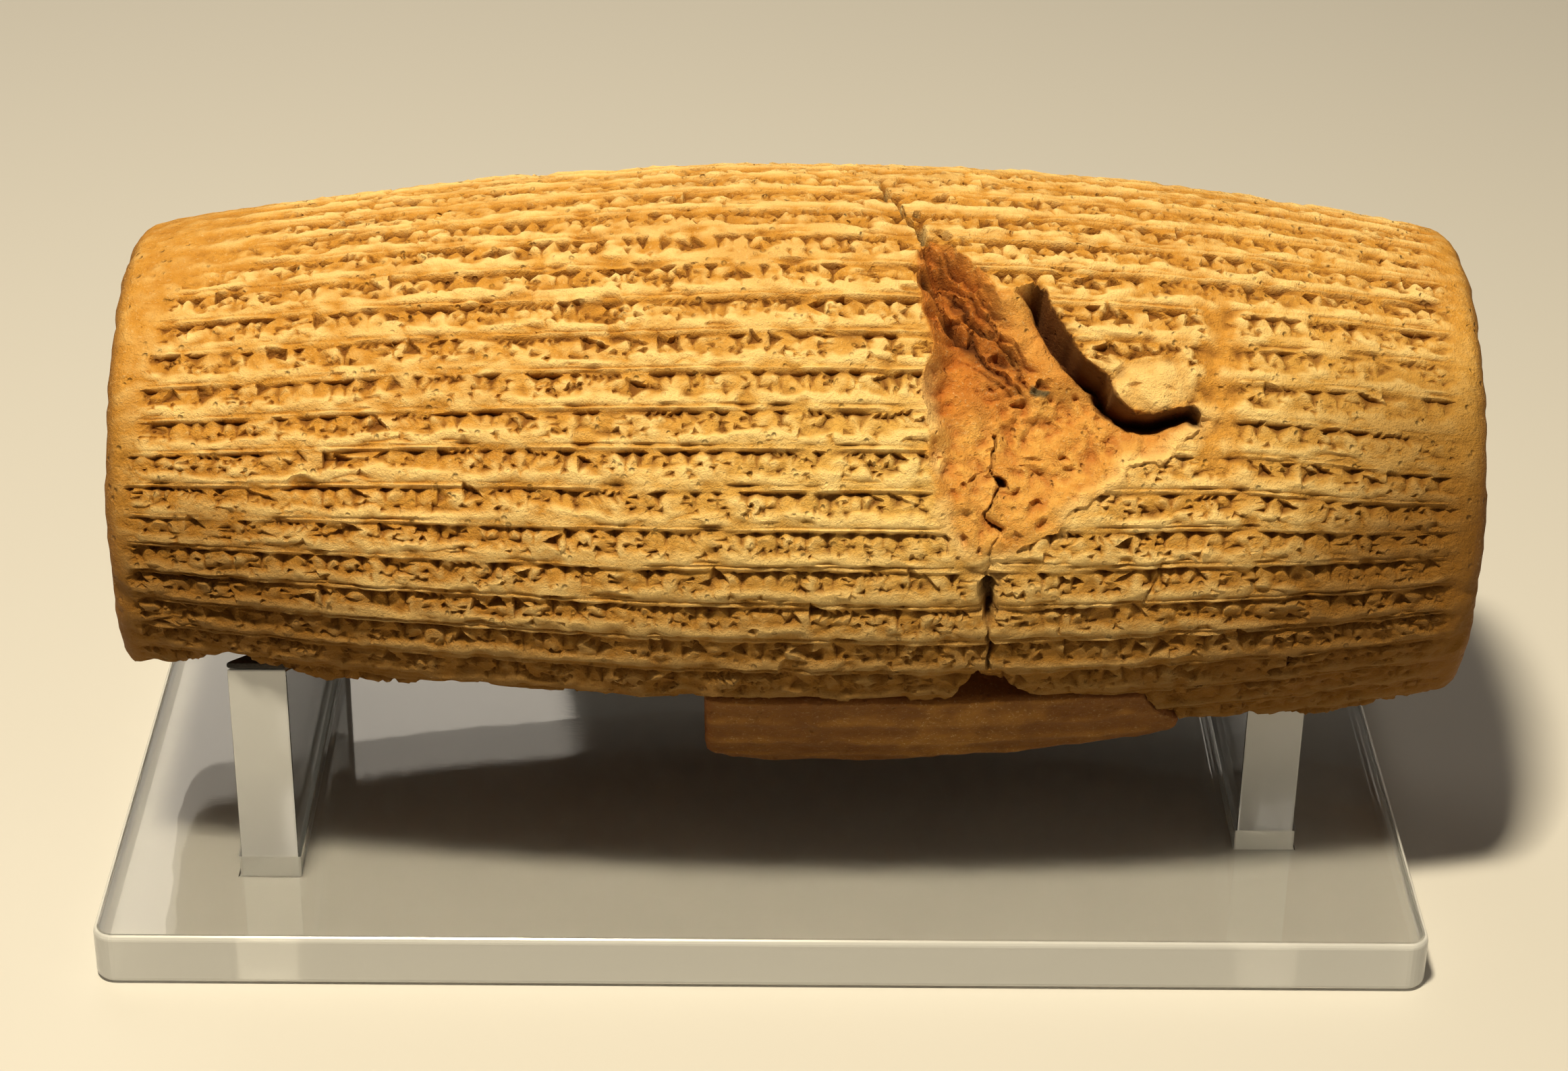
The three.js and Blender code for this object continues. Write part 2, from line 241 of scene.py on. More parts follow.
def barrelTree():
    # a turned barrel with rounded ends, set out by rule from named sizes
    tree = bpy.data.node_groups.new("ruledBarrel", "GeometryNodeTree")
    newSocket(tree, "Geometry", "Geometry")
    sizes = {
        "Length": clay["length"], "Belly Radius": clay["bellyRadius"],
        "Left End Radius": clay["leftEndRadius"], "Right End Radius": clay["rightEndRadius"],
        "Belly Offset": clay["bellyOffset"], "Left Fullness": clay["leftFullness"],
        "Right Fullness": clay["rightFullness"], "End Rounding": clay["endRounding"],
        "End Dome": clay["endDome"], "Cap Steps": clay["capSteps"], "Fine From": clay["fineFrom"],
        "Fine To": clay["fineTo"], "Fine Share": clay["fineShare"],
        "Middle": clay["middle"], "Axis Level": clay["axisLevel"], "Unit": mm,
    }
    for name, value in sizes.items():
        newSocket(tree, name, "Float", value)
    newSocket(tree, "Stations", "Int", clay["stations"])
    newSocket(tree, "Lines", "Int", clay["lines"])
    newSocket(tree, "Material", "Material")
    newSocket(tree, "Geometry", "Geometry", way="OUTPUT")
    given = tree.nodes.new("NodeGroupInput")
    size = {name: Field(tree, given.outputs[name]) for name in sizes}
    grid = addNode(tree, "GeometryNodeMeshGrid", {
        "Size X": 1.0, "Size Y": 1.0,
        "Vertices X": given.outputs["Stations"], "Vertices Y": given.outputs["Lines"],
    })
    position = tree.nodes.new("GeometryNodeInputPosition").outputs[0]
    place = addNode(tree, "ShaderNodeSeparateXYZ", {0: position})
    across = Field(tree, place.outputs["X"]) + 0.5
    turn = Field(tree, place.outputs["Y"]) + 0.5

    # the way along the outline, from one pole over the rim and the side to the other pole
    rounding = size["End Rounding"]
    quarter = rounding * (math.pi / 2)
    leftCap = (size["Left End Radius"] - rounding) / size["Cap Steps"]
    rightCap = (size["Right End Radius"] - rounding) / size["Cap Steps"]
    side = size["Length"] - rounding * 2.0
    whole = leftCap + quarter * 2.0 + side + rightCap
    run = across * whole
    leftShare = (run / leftCap).atMost(1.0)
    leftTurn = ((run - leftCap) / quarter).atLeast(0.0).atMost(1.0) * (math.pi / 2)
    onSide = (run - leftCap - quarter).atLeast(0.0).atMost(side)
    rightTurn = ((run - leftCap - quarter - side) / quarter).atLeast(0.0).atMost(1.0) * (math.pi / 2)
    rightShare = ((whole - run) / rightCap).atMost(1.0)

    flat = rounding - size["End Dome"]
    leftRise = flat * (leftTurn.math("COSINE") * -1.0 + 1.0) + size["End Dome"] * leftShare
    rightRise = flat * rightTurn.math("SINE") - size["End Dome"] * rightShare + size["End Dome"]
    along = size["Length"] * -0.5 + leftRise + onSide + rightRise
    offset = along - size["Belly Offset"]
    halfLength = size["Length"] * 0.5
    leftReach = (offset * -1.0 / (halfLength + size["Belly Offset"])).atLeast(0.0).atMost(1.0)
    rightReach = (offset / (halfLength - size["Belly Offset"])).atLeast(0.0).atMost(1.0)
    leftFall = (size["Belly Radius"] - size["Left End Radius"]) * leftReach ** size["Left Fullness"]
    rightFall = (size["Belly Radius"] - size["Right End Radius"]) * rightReach ** size["Right Fullness"]
    skin = size["Belly Radius"] - leftFall - rightFall
    leftInset = rounding * (leftTurn.math("SINE") * -1.0 + 1.0)
    inset = leftInset + rounding * (rightTurn.math("COSINE") * -1.0 + 1.0)
    radius = (skin - inset) * leftShare * rightShare

    fine = size["Fine Share"]
    fineSpan = size["Fine To"] - size["Fine From"]
    shown = (turn / fine).atMost(1.0) * fineSpan
    hidden = ((turn - fine) / (fine * -1.0 + 1.0)).atLeast(0.0) * (fineSpan * -1.0 + 360.0)
    around = size["Fine From"] + shown + hidden
    radians = around * (math.pi / 180)
    spot = addNode(tree, "ShaderNodeCombineXYZ", {
        "X": (along + size["Middle"]) * size["Unit"],
        "Y": radius * radians.math("COSINE") * -1.0 * size["Unit"],
        "Z": (radius * radians.math("SINE") + size["Axis Level"]) * size["Unit"],
    })
    kept = grid.outputs["Mesh"]
    onSkin = leftShare.math("FLOOR") * rightShare.math("FLOOR")
    rim = leftTurn.math("SINE") * rightTurn.math("COSINE") * onSkin
    for name, value in {"along": along, "onSide": rim}.items():
        store = addNode(tree, "GeometryNodeStoreNamedAttribute", {
            "Geometry": kept, "Name": name, "Value": value,
        }, data_type="FLOAT", domain="POINT")
        kept = store.outputs["Geometry"]
    shaped = addNode(tree, "GeometryNodeSetPosition", {"Geometry": kept, "Position": spot.outputs[0]})
    closed = addNode(tree, "GeometryNodeMergeByDistance", {
        "Geometry": shaped.outputs[0], "Distance": size["Unit"] * 0.01,
    })
    real = addNode(tree, "GeometryNodeRealizeInstances", {"Geometry": closed.outputs[0]})
    dressed = addNode(tree, "GeometryNodeSetMaterial", {
        "Geometry": real.outputs[0], "Material": given.outputs["Material"],
    })
    addNode(tree, "NodeGroupOutput", {"Geometry": dressed.outputs[0]})
    return tree


def treeObject(name, tree, values):
    # an object shaped by a tree of its own, turned into a plain mesh
    piece = newObject(name, bpy.data.meshes.new(name))
    modifier = piece.modifiers.new(tree.name, "NODES")
    modifier.node_group = tree
    for item in tree.interface.items_tree:
        if item.in_out == "INPUT" and item.name in values:
            modifier[item.identifier] = values[item.name]
    bpy.context.view_layer.update()
    return bakeModifiers(piece)


# The relief: maps over the whole skin, unrolled, that the mesh is shaped and coloured by

relief = {
    "columns": 1100,
    "rows": 1640,
    "seed": 7,
}
columnStep = clay["length"] / relief["columns"]
rowStep = 360 / relief["rows"]
mapX = ((np.arange(relief["columns"]) + 0.5) * columnStep - half)[None, :]
mapAngle = ((np.arange(relief["rows"]) + 0.5) * rowStep - 180)[:, None]
mapArc = mapAngle * arcPerDegree
mapShape = (relief["rows"], relief["columns"])


def lowPass(field, size, ratio=1.0, lean=0.0):
    # keeps only forms of that size in mm; ratio stretches them along a line that leans by that angle
    cosine, sine = math.cos(lean), math.sin(lean)
    alongFrequency = np.fft.rfftfreq(mapShape[1], d=columnStep)[None, :]
    roundFrequency = np.fft.fftfreq(mapShape[0], d=rowStep * arcPerDegree)[:, None]
    major = (alongFrequency * cosine + roundFrequency * sine) * size * ratio
    minor = (roundFrequency * cosine - alongFrequency * sine) * size
    keep = np.exp(-4 * (major ** 2 + minor ** 2))
    return np.fft.irfft2(np.fft.rfft2(field) * keep, mapShape)


def noise(seed, size, ratio=1.0, lean=0.0):
    # smooth chance relief, mostly within -1 to 1, that joins up round the clay
    field = np.random.default_rng(relief["seed"] * 1000 + seed).standard_normal(mapShape)
    field = lowPass(field, size, ratio, lean)
    return field / (2 * field.std())


def sampleMap(field, x, angle):
    column = np.clip((x + half) / columnStep - 0.5, 0, mapShape[1] - 1.001)
    row = ((angle + 180) / rowStep - 0.5) % mapShape[0]
    c, r = column.astype(int), row.astype(int)
    u, v = column - c, row - r
    up = (r + 1) % mapShape[0]
    low = field[r, c] * (1 - u) + field[r, c + 1] * u
    high = field[up, c] * (1 - u) + field[up, c + 1] * u
    return low * (1 - v) + high * v


def distanceTo(line, x, arc):
    # distance in mm from each place to a line through the listed places
    nearest = np.full(np.broadcast(x, arc).shape, 1e9)
    for (ax, ay), (bx, by) in zip(line[:-1], line[1:]):
        dx, dy = bx - ax, by - ay
        share = np.clip(((x - ax) * dx + (arc - ay) * dy) / (dx * dx + dy * dy), 0, 1)
        nearest = np.minimum(nearest, np.hypot(x - ax - share * dx, arc - ay - share * dy))
    return nearest


def inside(outline, x, arc):
    within = np.zeros(np.broadcast(x, arc).shape, bool)
    for (ax, ay), (bx, by) in zip(outline, outline[1:] + outline[:1]):
        if ay != by:
            crosses = (arc > min(ay, by)) & (arc <= max(ay, by))
            within ^= crosses & (x < ax + (arc - ay) * (bx - ax) / (by - ay))
    return within


# Rows of strokes

rows = {
    # the row's section, from the line that the strokes hang from downwards: mm, mm
    "section": [
        [0, -0.72], [0.35, -0.68], [0.8, -0.46], [2.3, -0.42], [3.0, -0.36], [3.5, -0.08], [4.0, 0.03],
        [4.8, 0.03], [5.2, -0.1], [5.42, -0.38], [5.58, -0.36], [5.8, -0.16], [6.05, -0.18], [6.25, -0.42],
        [6.54, -0.72],
    ],
    "scallop": 0.95,
    "stray": 0.35,
    "leftDip": 1.5,
    "rightDip": 3.6,
    "headWidth": [2.2, 4.0],
    "headHeight": [1.5, 2.5],
    "headDepth": [1.0, 1.6],
    "tailWidth": 0.32,
    "tailLength": [1.9, 4.0],
    "lineLength": [1.7, 3.6],
    "lineSpacing": 1.15,
    "lip": 0.24,
}


def stampStroke(pressed, x, arc, way, head, height, length, depth):
    # a wedge: a triangular head that runs out into a narrowing tail, way is its direction in radians
    reach = int((length + head) / columnStep) + 2
    column = int((x + half) / columnStep)
    row = int((arc / arcPerDegree + 180) / rowStep)
    columns = np.arange(max(column - reach, 0), min(column + reach, mapShape[1]))
    lines = np.arange(row - reach, row + reach)
    dx = ((columns + 0.5) * columnStep - half - x)[None, :]
    dy = (((lines + 0.5) * rowStep - 180) * arcPerDegree - arc)[:, None]
    along = dx * math.cos(way) + dy * math.sin(way)
    across = dy * math.cos(way) - dx * math.sin(way)
    taper = np.clip(1 - along / length, 0, 1)
    halfWidth = np.maximum(head / 2 * (1 - along / height), rows["tailWidth"] * (0.4 + 0.6 * taper))
    wedge = np.clip(1 - np.abs(across) / np.maximum(halfWidth, 0.05), 0, 1)
    fall = np.maximum(1 - along / height * 0.55, 0.5 * np.minimum(taper * 2.5, 1))
    cut = np.where((along > 0) & (along < length), depth * wedge ** 0.6 * fall, 0)
    place = np.ix_(lines % mapShape[0], columns)
    pressed[place] = np.maximum(pressed[place], cut)


def rowStray(x, arc, waver):
    # how far the ruled lines stray downwards, in mm
    left = rows["leftDip"] * smooth(-x, 45, 105) * np.exp(-((arc - 25) / 22) ** 2)
    right = rows["rightDip"] * smooth(x, 62, 107) * np.exp(-((arc - 24) / 15) ** 2)
    return left + right + rows["stray"] * waver


def pressRows(strayMap):
    # fills each row with groups of strokes chosen by chance; none of them is a letter
    rng = np.random.default_rng(relief["seed"])
    pressed = np.zeros(mapShape)
    down = -math.pi / 2

    def between(pair):
        return rng.uniform(*pair)

    def hang(x, below):
        # the row's own line strays, and the stroke goes with it
        return rowLine - sampleMap(strayMap, np.array([x]), np.array([rowLine / arcPerDegree]))[0] - below

    def wedge(x, below, way, size=1.0, depth=1.0, tail=1.0):
        head = between(rows["headWidth"]) * size
        height = between(rows["headHeight"]) * size
        length = max(between(rows["tailLength"]) * tail, height * 1.02)
        stampStroke(pressed, x, hang(x, below), way + rng.normal(0, 0.07), head, height, length,
                    between(rows["headDepth"]) * depth)

    def shortLine(x, below, length, depth=0.85):
        # lies nearly level, with a broad head at either end
        way = rng.normal(0, 0.27) + (math.pi if rng.random() < 0.4 else 0)
        start = x if math.cos(way) > 0 else x + length
        head, height = rng.uniform(0.95, 1.35), rng.uniform(0.8, 1.4)
        stampStroke(pressed, start, hang(x, below), way, head, height, length, depth)

    def stand(x, large):
        count = rng.integers(1, 3)
        for k in range(count):
            wedge(x + 1.2 + k * 2.2 * large, rng.uniform(-0.1, 0.25), down, large)
        return count * 2.2 * large + 0.7

    def stack(x, large):
        count = rng.integers(2, 4)
        length = between(rows["lineLength"]) * large
        top = rng.uniform(0.7, 1.5)
        for k in range(count):
            below = top + k * rows["lineSpacing"] * large
            shortLine(x + rng.uniform(-0.8, 1.5), below, length * rng.uniform(0.5, 1.2))
        if rng.random() < 0.8:
            wedge(x + length * rng.uniform(0.35, 0.75), 0.0, down, 0.95 * large)
        return length + 0.9

    def slant(x, large):
        count = rng.integers(3, 6)
        lean = rng.choice([-2.2, -0.95])
        for k in range(count):
            wedge(x + 0.5 + k * 1.15, rng.uniform(0.1, 0.7), lean, 0.62 * large, 0.85, 0.62)
        return count * 1.15 + 0.6

    def corner(x, large):
        count = rng.integers(1, 3)
        for k in range(count):
            lean = rng.choice([-1.1, -2.0, 0.1, -2.4])
            wedge(x + 1.3 + k * 2.0, 0.3 + rng.uniform(0, 1.3), lean, 1.2 * large, 1.1, 0.42)
        return count * 2.0 + 1.2

    def cross(x, large):
        length = between(rows["lineLength"]) * 1.3 * large
        shortLine(x, rng.uniform(1.6, 2.8), length, 0.8)
        for k in range(rng.integers(1, 3)):
            wedge(x + 1.1 + k * 1.8, 0.0, down, large, 1.0, 1.1)
        return length + 0.5

    def fine(x, large):
        for k in range(rng.integers(3, 6)):
            wedge(x + rng.uniform(0, 2.4), rng.uniform(0.6, 3.2), rng.uniform(-3.0, 0.3), 0.5, 0.8, 0.35)
        wedge(x + 1.6, 0.0, down, 0.8)
        return 3.1

    kinds = [stand, stack, slant, corner, cross, fine]
    chances = [0.21, 0.33, 0.12, 0.19, 0.1, 0.05]
    for k in range(clay["rowCount"]):
        rowLine = ((clay["firstRow"] + k * rowAngle + 180) % 360 - 180) * arcPerDegree
        x = -half + 2 + rng.uniform(0, 1.5)
        while x < half - 3:
            large = 1.3 if x > 68 and 28 < rowLine < 54 else rng.uniform(0.85, 1.12)
            chosen = kinds[rng.choice(len(kinds), p=chances)]
            x += chosen(x, large) + rng.exponential(0.3)
            if rng.random() < 0.07:
                x += rng.uniform(0.8, 2.4)
        # smaller marks eat into the band below
        x = -half + 3
        while x < half - 3:
            if rng.random() < 0.62:
                lean = rng.choice([-0.2, -2.9, -1.2, 0.5])
                wedge(x, rng.uniform(2.1, 3.9), lean, rng.uniform(0.4, 0.62), 0.6, 0.55)
            x += rng.uniform(1.2, 3.2)
    return pressed


def skinRelief():
    # the height of the pressed skin before it broke
    strayMap = rowStray(mapX, mapArc, noise(1, 26, 2.2))
    pressed = pressRows(strayMap)
    below = (1 - ((mapAngle + strayMap / arcPerDegree - clay["firstRow"]) / rowAngle) % 1) * rowPitch
    onBand = smooth(below, 2.2, 3.6) * (1 - smooth(below, 4.8, 5.2))
    scallop = rows["scallop"] * onBand * (noise(9, 1.9, 1.5) + 0.8 * noise(10, 5, 1.5))
    section = np.interp(below + scallop, *np.array(rows["section"]).T)

    margin = np.interp(mapArc, [20, 50, 75, 100], [-106, -101.5, -98, -97])
    written = smooth(mapX - margin, -1.5, 3) * (1 - smooth(mapX, 101, 107.5))
    wear = 1.0 + 0.17 * noise(2, 16) + 0.13 * noise(3, 6)
    wear = wear * (1 - 0.75 * smooth(-mapX, 78, 96) * smooth(mapArc, 56, 68))
    wear = wear * (1 - 0.5 * smooth(mapX, 98, 107))
    wear = wear * (1 - 0.1 * smooth(mapArc, 58, 72))
    wear = wear * (1 - 0.2 * smooth(-mapArc, 8, 20))
    wear = wear * (1 - 0.5 * np.maximum(smooth(mapArc, 102, 122), smooth(-mapArc, 52, 66)))
    wear = np.clip(wear, 0.12, 1.1) * written
    ruled = 0.95 + 0.4 * noise(4, 11, 2.5) + 0.45 * noise(8, 3.2, 1.5)
    ruled = ruled * (1.0 - 0.15 * smooth(mapArc, 48, 66))
    ruled = np.clip(ruled, 0.1, 1.45) * mix(0.35, 1, wear)
    cut = pressed * wear
    # between the strokes the clay is pushed up and crumbled
    onText = smooth(below, 0.2, 0.9) * (1 - smooth(below, 3.6, 4.4))
    crumbs = 0.26 * noise(53, 1.6, 1.6) + 0.2 * noise(54, 0.9) + 0.22 * noise(55, 3.2)
    banded = (1 - onText) * (0.26 * noise(56, 2.4, 1.4) + 0.12 * noise(57, 1.2))
    height = section * ruled * written - cut + rows["lip"] * lowPass(cut, 1.7)
    onRim = smooth(below, 5.0, 5.4) * (1 - smooth(below, 6.25, 6.5))
    chipped = onRim * np.clip(noise(60, 1.5, 1.6) - 0.25, 0, 1.2) * 0.65
    height = height + (crumbs * onText + banded - chipped) * wear * written
    worn = 1 - np.clip(wear * 1.25, 0, 1)
    height = mix(height, lowPass(height, 1.6), worn)
    height = height + 0.25 * noise(5, 18) - 0.25 + 0.12 * noise(6, 2.2) + 0.07 * noise(7, 1.0)
    return np.minimum(height, clay["highest"])


# The gash in the shown side, and the cracks: all places are distance along and arc, in mm

gash = {
    "softEdge": [
        (31.4, 53.8), (29.8, 57.6), (27.4, 61.6), (23.6, 63.8), (20.2, 64.6), (18.6, 62), (18.3, 58),
        (18.9, 54), (19.6, 50), (20.3, 45), (19.3, 40), (18.7, 36), (19.8, 32), (20.1, 26), (21, 20),
        (23.4, 13.8), (25.4, 10), (28, 9.6), (29.6, 10.6), (31, 10), (33.4, 9.7), (36.2, 11.8), (40, 14),
        (43.5, 17.8), (47, 19.6), (49.6, 22.2), (51, 25), (54.5, 25.6), (58, 27.2), (60.2, 29),
        (62.6, 31.5), (62.4, 34),
    ],
    "hardEdge": [
        (62.4, 34), (61.2, 35.4), (58.5, 34.9), (55, 33.8), (51.5, 34.3), (49.2, 36.6), (47.7, 40.4),
        (45.2, 42), (43.4, 44.6), (41.1, 49), (39.7, 52), (38.9, 55.6), (36.6, 56.8), (33.4, 55.6),
        (31.4, 53.8),
    ],
    "flaky": [(18.4, 64.5), (27, 62.5), (29.6, 56), (31.5, 53.5), (33.5, 47.5), (36.6, 42), (39.6, 38.6),
              (34, 37), (30.5, 38), (27.5, 43), (23.5, 47.5), (21, 52), (18, 58)],
    "wall": [(31.2, 54), (36.4, 56), (38, 51.5), (41, 44), (44.5, 39), (40.2, 38.4), (36.6, 42),
             (33.6, 47.5)],
    "ledge": [(29.4, 37.6), (31, 35.4), (33.6, 33.6), (36.6, 33.2), (38.8, 35.4), (39.6, 38.4), (34, 38.8)],
    # place, long and short half width, lean in radians, depth
    "holes": [
        (19.7, 57.5, 2.2, 1.1, -1.3, 4.0), (19.4, 67.4, 2.4, 0.8, -1.5, 3.0),
        (22.8, 67.0, 2.2, 0.9, -0.5, 1.8), (24.0, 49.5, 3.4, 1.1, -0.85, 2.4),
        (28.6, 50.4, 4.0, 1.0, -0.75, 2.8), (33.2, 44.8, 3.8, 0.8, -0.95, 2.2),
        (22.6, 60.5, 1.6, 0.8, -0.9, 1.6), (31.4, 22.0, 1.8, 0.7, -0.9, 3.6),
        (35.6, 25.7, 1.5, 0.6, 0.0, 0.7), (82.0, 31.0, 0.7, 0.5, 0.0, 1.8),
        (45.8, 67.2, 2.6, 1.0, -0.5, 0.8), (35, 65.2, 3.2, 0.6, 0.0, 0.8),
        (54.5, 44.0, 6.6, 0.55, 0.1, 0.7), (52.0, 38.4, 1.6, 0.45, 0.2, 0.6),
        (57.6, 38.0, 1.3, 0.45, -0.4, 0.5), (47.6, 42.6, 2.2, 0.6, -0.5, 0.9),
    ],
    # way of each crack, its half width and its depth
    "cracks": [
        ([(30.6, 29.6), (30.2, 27), (29.8, 24.6), (31, 22.6), (31.8, 20.6), (30.8, 18.8), (29.5, 16.8),
          (29.6, 14.8), (30.8, 13.4)], 0.17, 1.7),
        ([(30.8, 13.4), (29.7, 11.4), (30, 8), (29.8, 5)], 0.16, 0.6),
        ([(30, 26), (28.6, 24), (27.4, 22)], 0.26, 0.6),
        ([(29.5, 5.2), (29.8, 3), (30.1, 0.4), (30.3, -1.2)], 0.85, 3.4),
        ([(30.3, -1), (30.4, -3), (30.7, -6), (30.6, -11)], 0.24, 1.4),
        ([(12.6, 83), (14.3, 79.4), (15.6, 75.8), (16.9, 72.4), (18.6, 69.4), (19.4, 64)], 0.4, 2.2),
        ([(57.2, 9), (55.6, 5), (54, 1)], 0.2, 0.5),
    ],
    "stone": (37.6, 37.8),
    "grooveDepth": 5.0,
    "floorDepth": 4.8,
    "lobe": (55.2, 38.6),
    "strip": (65.6, 42.0),
}


def spot(place, width, height=None, lean=0.0):
    dx, dy = mapX - place[0], mapArc - place[1]
    u = dx * math.cos(lean) + dy * math.sin(lean)
    v = dy * math.cos(lean) - dx * math.sin(lean)
    return np.exp(-(u / width) ** 2 - (v / (height or width)) ** 2)


def gashRelief():
    # depth under the skin, and masks for how the gash is coloured; away from it nothing needs working out
    columns = slice(*np.searchsorted(mapX[0], [8, 88]))
    lines = slice(*np.searchsorted(mapArc[:, 0], [-16, 90]))
    near = (lines, columns)

    def part(field):
        return np.broadcast_to(field, mapShape)[near]

    def whole(field):
        wide = np.zeros(mapShape)
        wide[near] = field
        return wide

    trueX, trueArc = part(mapX), part(mapArc)
    ragged = 1 - 0.7 * smooth(trueX, 32, 37) * smooth(trueArc, 30, 33)
    x = trueX + ragged * part(0.7 * noise(11, 3.2) + 0.3 * noise(12, 1.2))
    arc = trueArc + ragged * part(0.7 * noise(13, 3.2) + 0.3 * noise(14, 1.2))

    def zone(name, soft):
        return np.clip(part(lowPass(whole(inside(gash[name], x, arc)), soft)), 0, 1)

    within = inside(gash["softEdge"][:-1] + gash["hardEdge"], x, arc)
    softly = distanceTo(gash["softEdge"], x, arc)
    sharply = distanceTo(gash["hardEdge"], x, arc)
    flaky, wall, ledge = zone("flaky", 2.0), zone("wall", 2.0), zone("ledge", 0.6)

    # the floor falls from the soft edges towards the groove under the hard one
    slope = smooth(softly, -0.6, mix(4.2, 6.5, smooth(trueX, 30, 36))) * smooth(sharply, 0, 1.2)
    floor = (0.6 + gash["floorDepth"] * smooth(trueArc, 12, 34)) * slope
    tongue = smooth(trueX, 34.5, 38)
    floor = floor + gash["grooveDepth"] * (1 - smooth(sharply, 1.0, 3.6)) * tongue * smooth(sharply, 0, 1.1)
    floor = floor - 1.8 * wall

    # flakes overlap along a line that runs down to the right
    lean = -0.9
    across = (trueArc - 58) * math.cos(lean) - (trueX - 20) * math.sin(lean)
    flake = across / 2.6 + part(noise(15, 3.6, 2.5, lean)) * 1.1 + part(noise(16, 1.4, 2, lean)) * 0.4
    flake = flake - np.floor(flake)
    torn = part(noise(17, 1.7, 2.5, lean))
    crumbly = 0.9 * part(noise(18, 2.0)) + 0.6 * np.abs(part(noise(28, 1.0)))
    crumbly = crumbly * mix(0.5, 1, smooth(trueArc, 52, 57))
    floor = floor + flaky * (1.5 * flake - 1.2 + 0.7 * torn + crumbly)
    scar = np.exp(-(((trueX - 25.5) / 3.6) ** 2 + ((trueArc - 35) / 9) ** 2))
    calm = 1 - 0.75 * np.maximum(wall * 0.8, scar)
    rough = 0.8 * part(noise(19, 3.6)) + 0.72 * part(noise(20, 1.5)) + 0.5 * part(noise(21, 0.9))
    pitted = smooth(part(noise(22, 1.2)), 0.75, 1.2) * 0.9
    floor = floor + (rough + pitted) * calm * smooth(softly, 0, 1.6)
    floor = floor - 1.0 * ledge - 0.7 * scar

    # the rim of fresh breaks is paler, also just outside the gash
    lower = (1 - smooth(trueArc, 32, 44)) * smooth(part(noise(23, 4)) + 0.8, 0, 0.6)
    rim = lower * (1 - smooth(softly, 0.6, 3.0)) * mix(0.5, 1, within)

    holeDepth = np.zeros(mapShape)
    holeShade = np.zeros(mapShape)
    for place in gash["holes"]:
        shape = spot(place[:2], place[2], place[3], place[4]) + 0.16 * noise(24, 1.3)
        shape = smooth(shape, 0.3, 0.95)
        holeDepth = np.maximum(holeDepth, place[5] * shape)
        # painted shade: the deeper a hole, the darker it is coloured
        holeShade = np.maximum(holeShade, shape * min(place[5] / 2.8, 1))

    slits = np.zeros(x.shape)
    slitShade = np.zeros(x.shape)
    opening = 1 + 0.45 * part(noise(25, 3))
    for line, width, deep in gash["cracks"]:
        away = distanceTo(line, x, arc) / (opening if width < 0.5 else 1)
        slits = np.maximum(slits, deep * (1 - smooth(away, width * 0.3, width * 1.5)))
        # painted shade: the deeper a crack, the darker it is coloured
        slitShade = np.maximum(slitShade, min(deep / 2.2, 1) * (1 - smooth(away, width * 0.3, width * 1.3)))
    valley = np.exp(-((trueX - 29.8) / 2.3) ** 2) * smooth(trueArc, -4, 2) * (1 - smooth(trueArc, 8, 12))
    slits = slits + 1.1 * valley

    # painted shadow in the groove under the tongue's edge, and dark bands and patches among the flakes
    shade = (1 - smooth(sharply, 1.4, 3.6)) * tongue
    shade = shade + flaky * 0.75 * smooth(flake, 0.55, 0.95) + flaky * 0.35 * np.clip(torn, 0, 1)
    dark = np.maximum(np.where(within, np.clip(shade, 0, 1), 0), slitShade)
    redZone = smooth(trueArc, 27, 42) * (1 - smooth(trueX + 0.35 * (trueArc - 44), 30, 39))
    red = redZone + 0.3 * wall + 0.35 * (1 - smooth(sharply, 3, 7)) * tongue + 0.3 * part(noise(26, 4))
    stone = smooth(spot(gash["stone"], 2.4, 1.25, -0.15) + 0.3 * noise(27, 1.8), 0.5, 0.62)
    masks = {
        "gash": whole(within),
        "dark": np.maximum(whole(dark), holeShade),
        "red": whole(np.clip(red, 0, 1) * within),
        "stone": stone,
        "rim": whole(np.clip(rim + 0.5 * valley, 0, 1)),
    }
    depth = whole(np.where(within, np.maximum(floor, 0.3), 0)) - 0.35 * stone
    return depth, whole(slits) + holeDepth, masks


def wornAreas(height):
    # a scooped strip beside the gash, the lump at the tongue's end, and small losses
    dx = mapX - gash["strip"][0] + 2.1 * noise(31, 8) + 1.2 * noise(37, 2.6)
    dy = mapArc - gash["strip"][1] + 4.0 * noise(38, 7)
    strip = (1 - smooth(np.abs(dx), 1.6, 5.6)) * (1 - smooth(np.abs(dy), 11, 22))
    smoothed = lowPass(height, 2.6)
    scooped = smoothed - 0.7 + 0.35 * noise(32, 2.2) + 0.22 * noise(61, 1.0)
    height = mix(height, scooped, strip * 0.85)
    lobe = smooth(spot(gash["lobe"], 7.6, 4.8, 0.12) + 0.08 * noise(39, 3), 0.33, 0.5)
    crown = 1.5 * spot(gash["lobe"], 6.5, 4.0, 0.12) - 1.15
    lump = crown + 0.5 * noise(33, 3.0) + 0.4 * noise(34, 1.4)
    height = mix(height, np.minimum(lump, clay["highest"]), lobe)
    losses = smooth(noise(35, 3.4) + 0.4 * noise(36, 9), 1.05, 1.5)
    return height - 0.6 * losses, strip, lobe


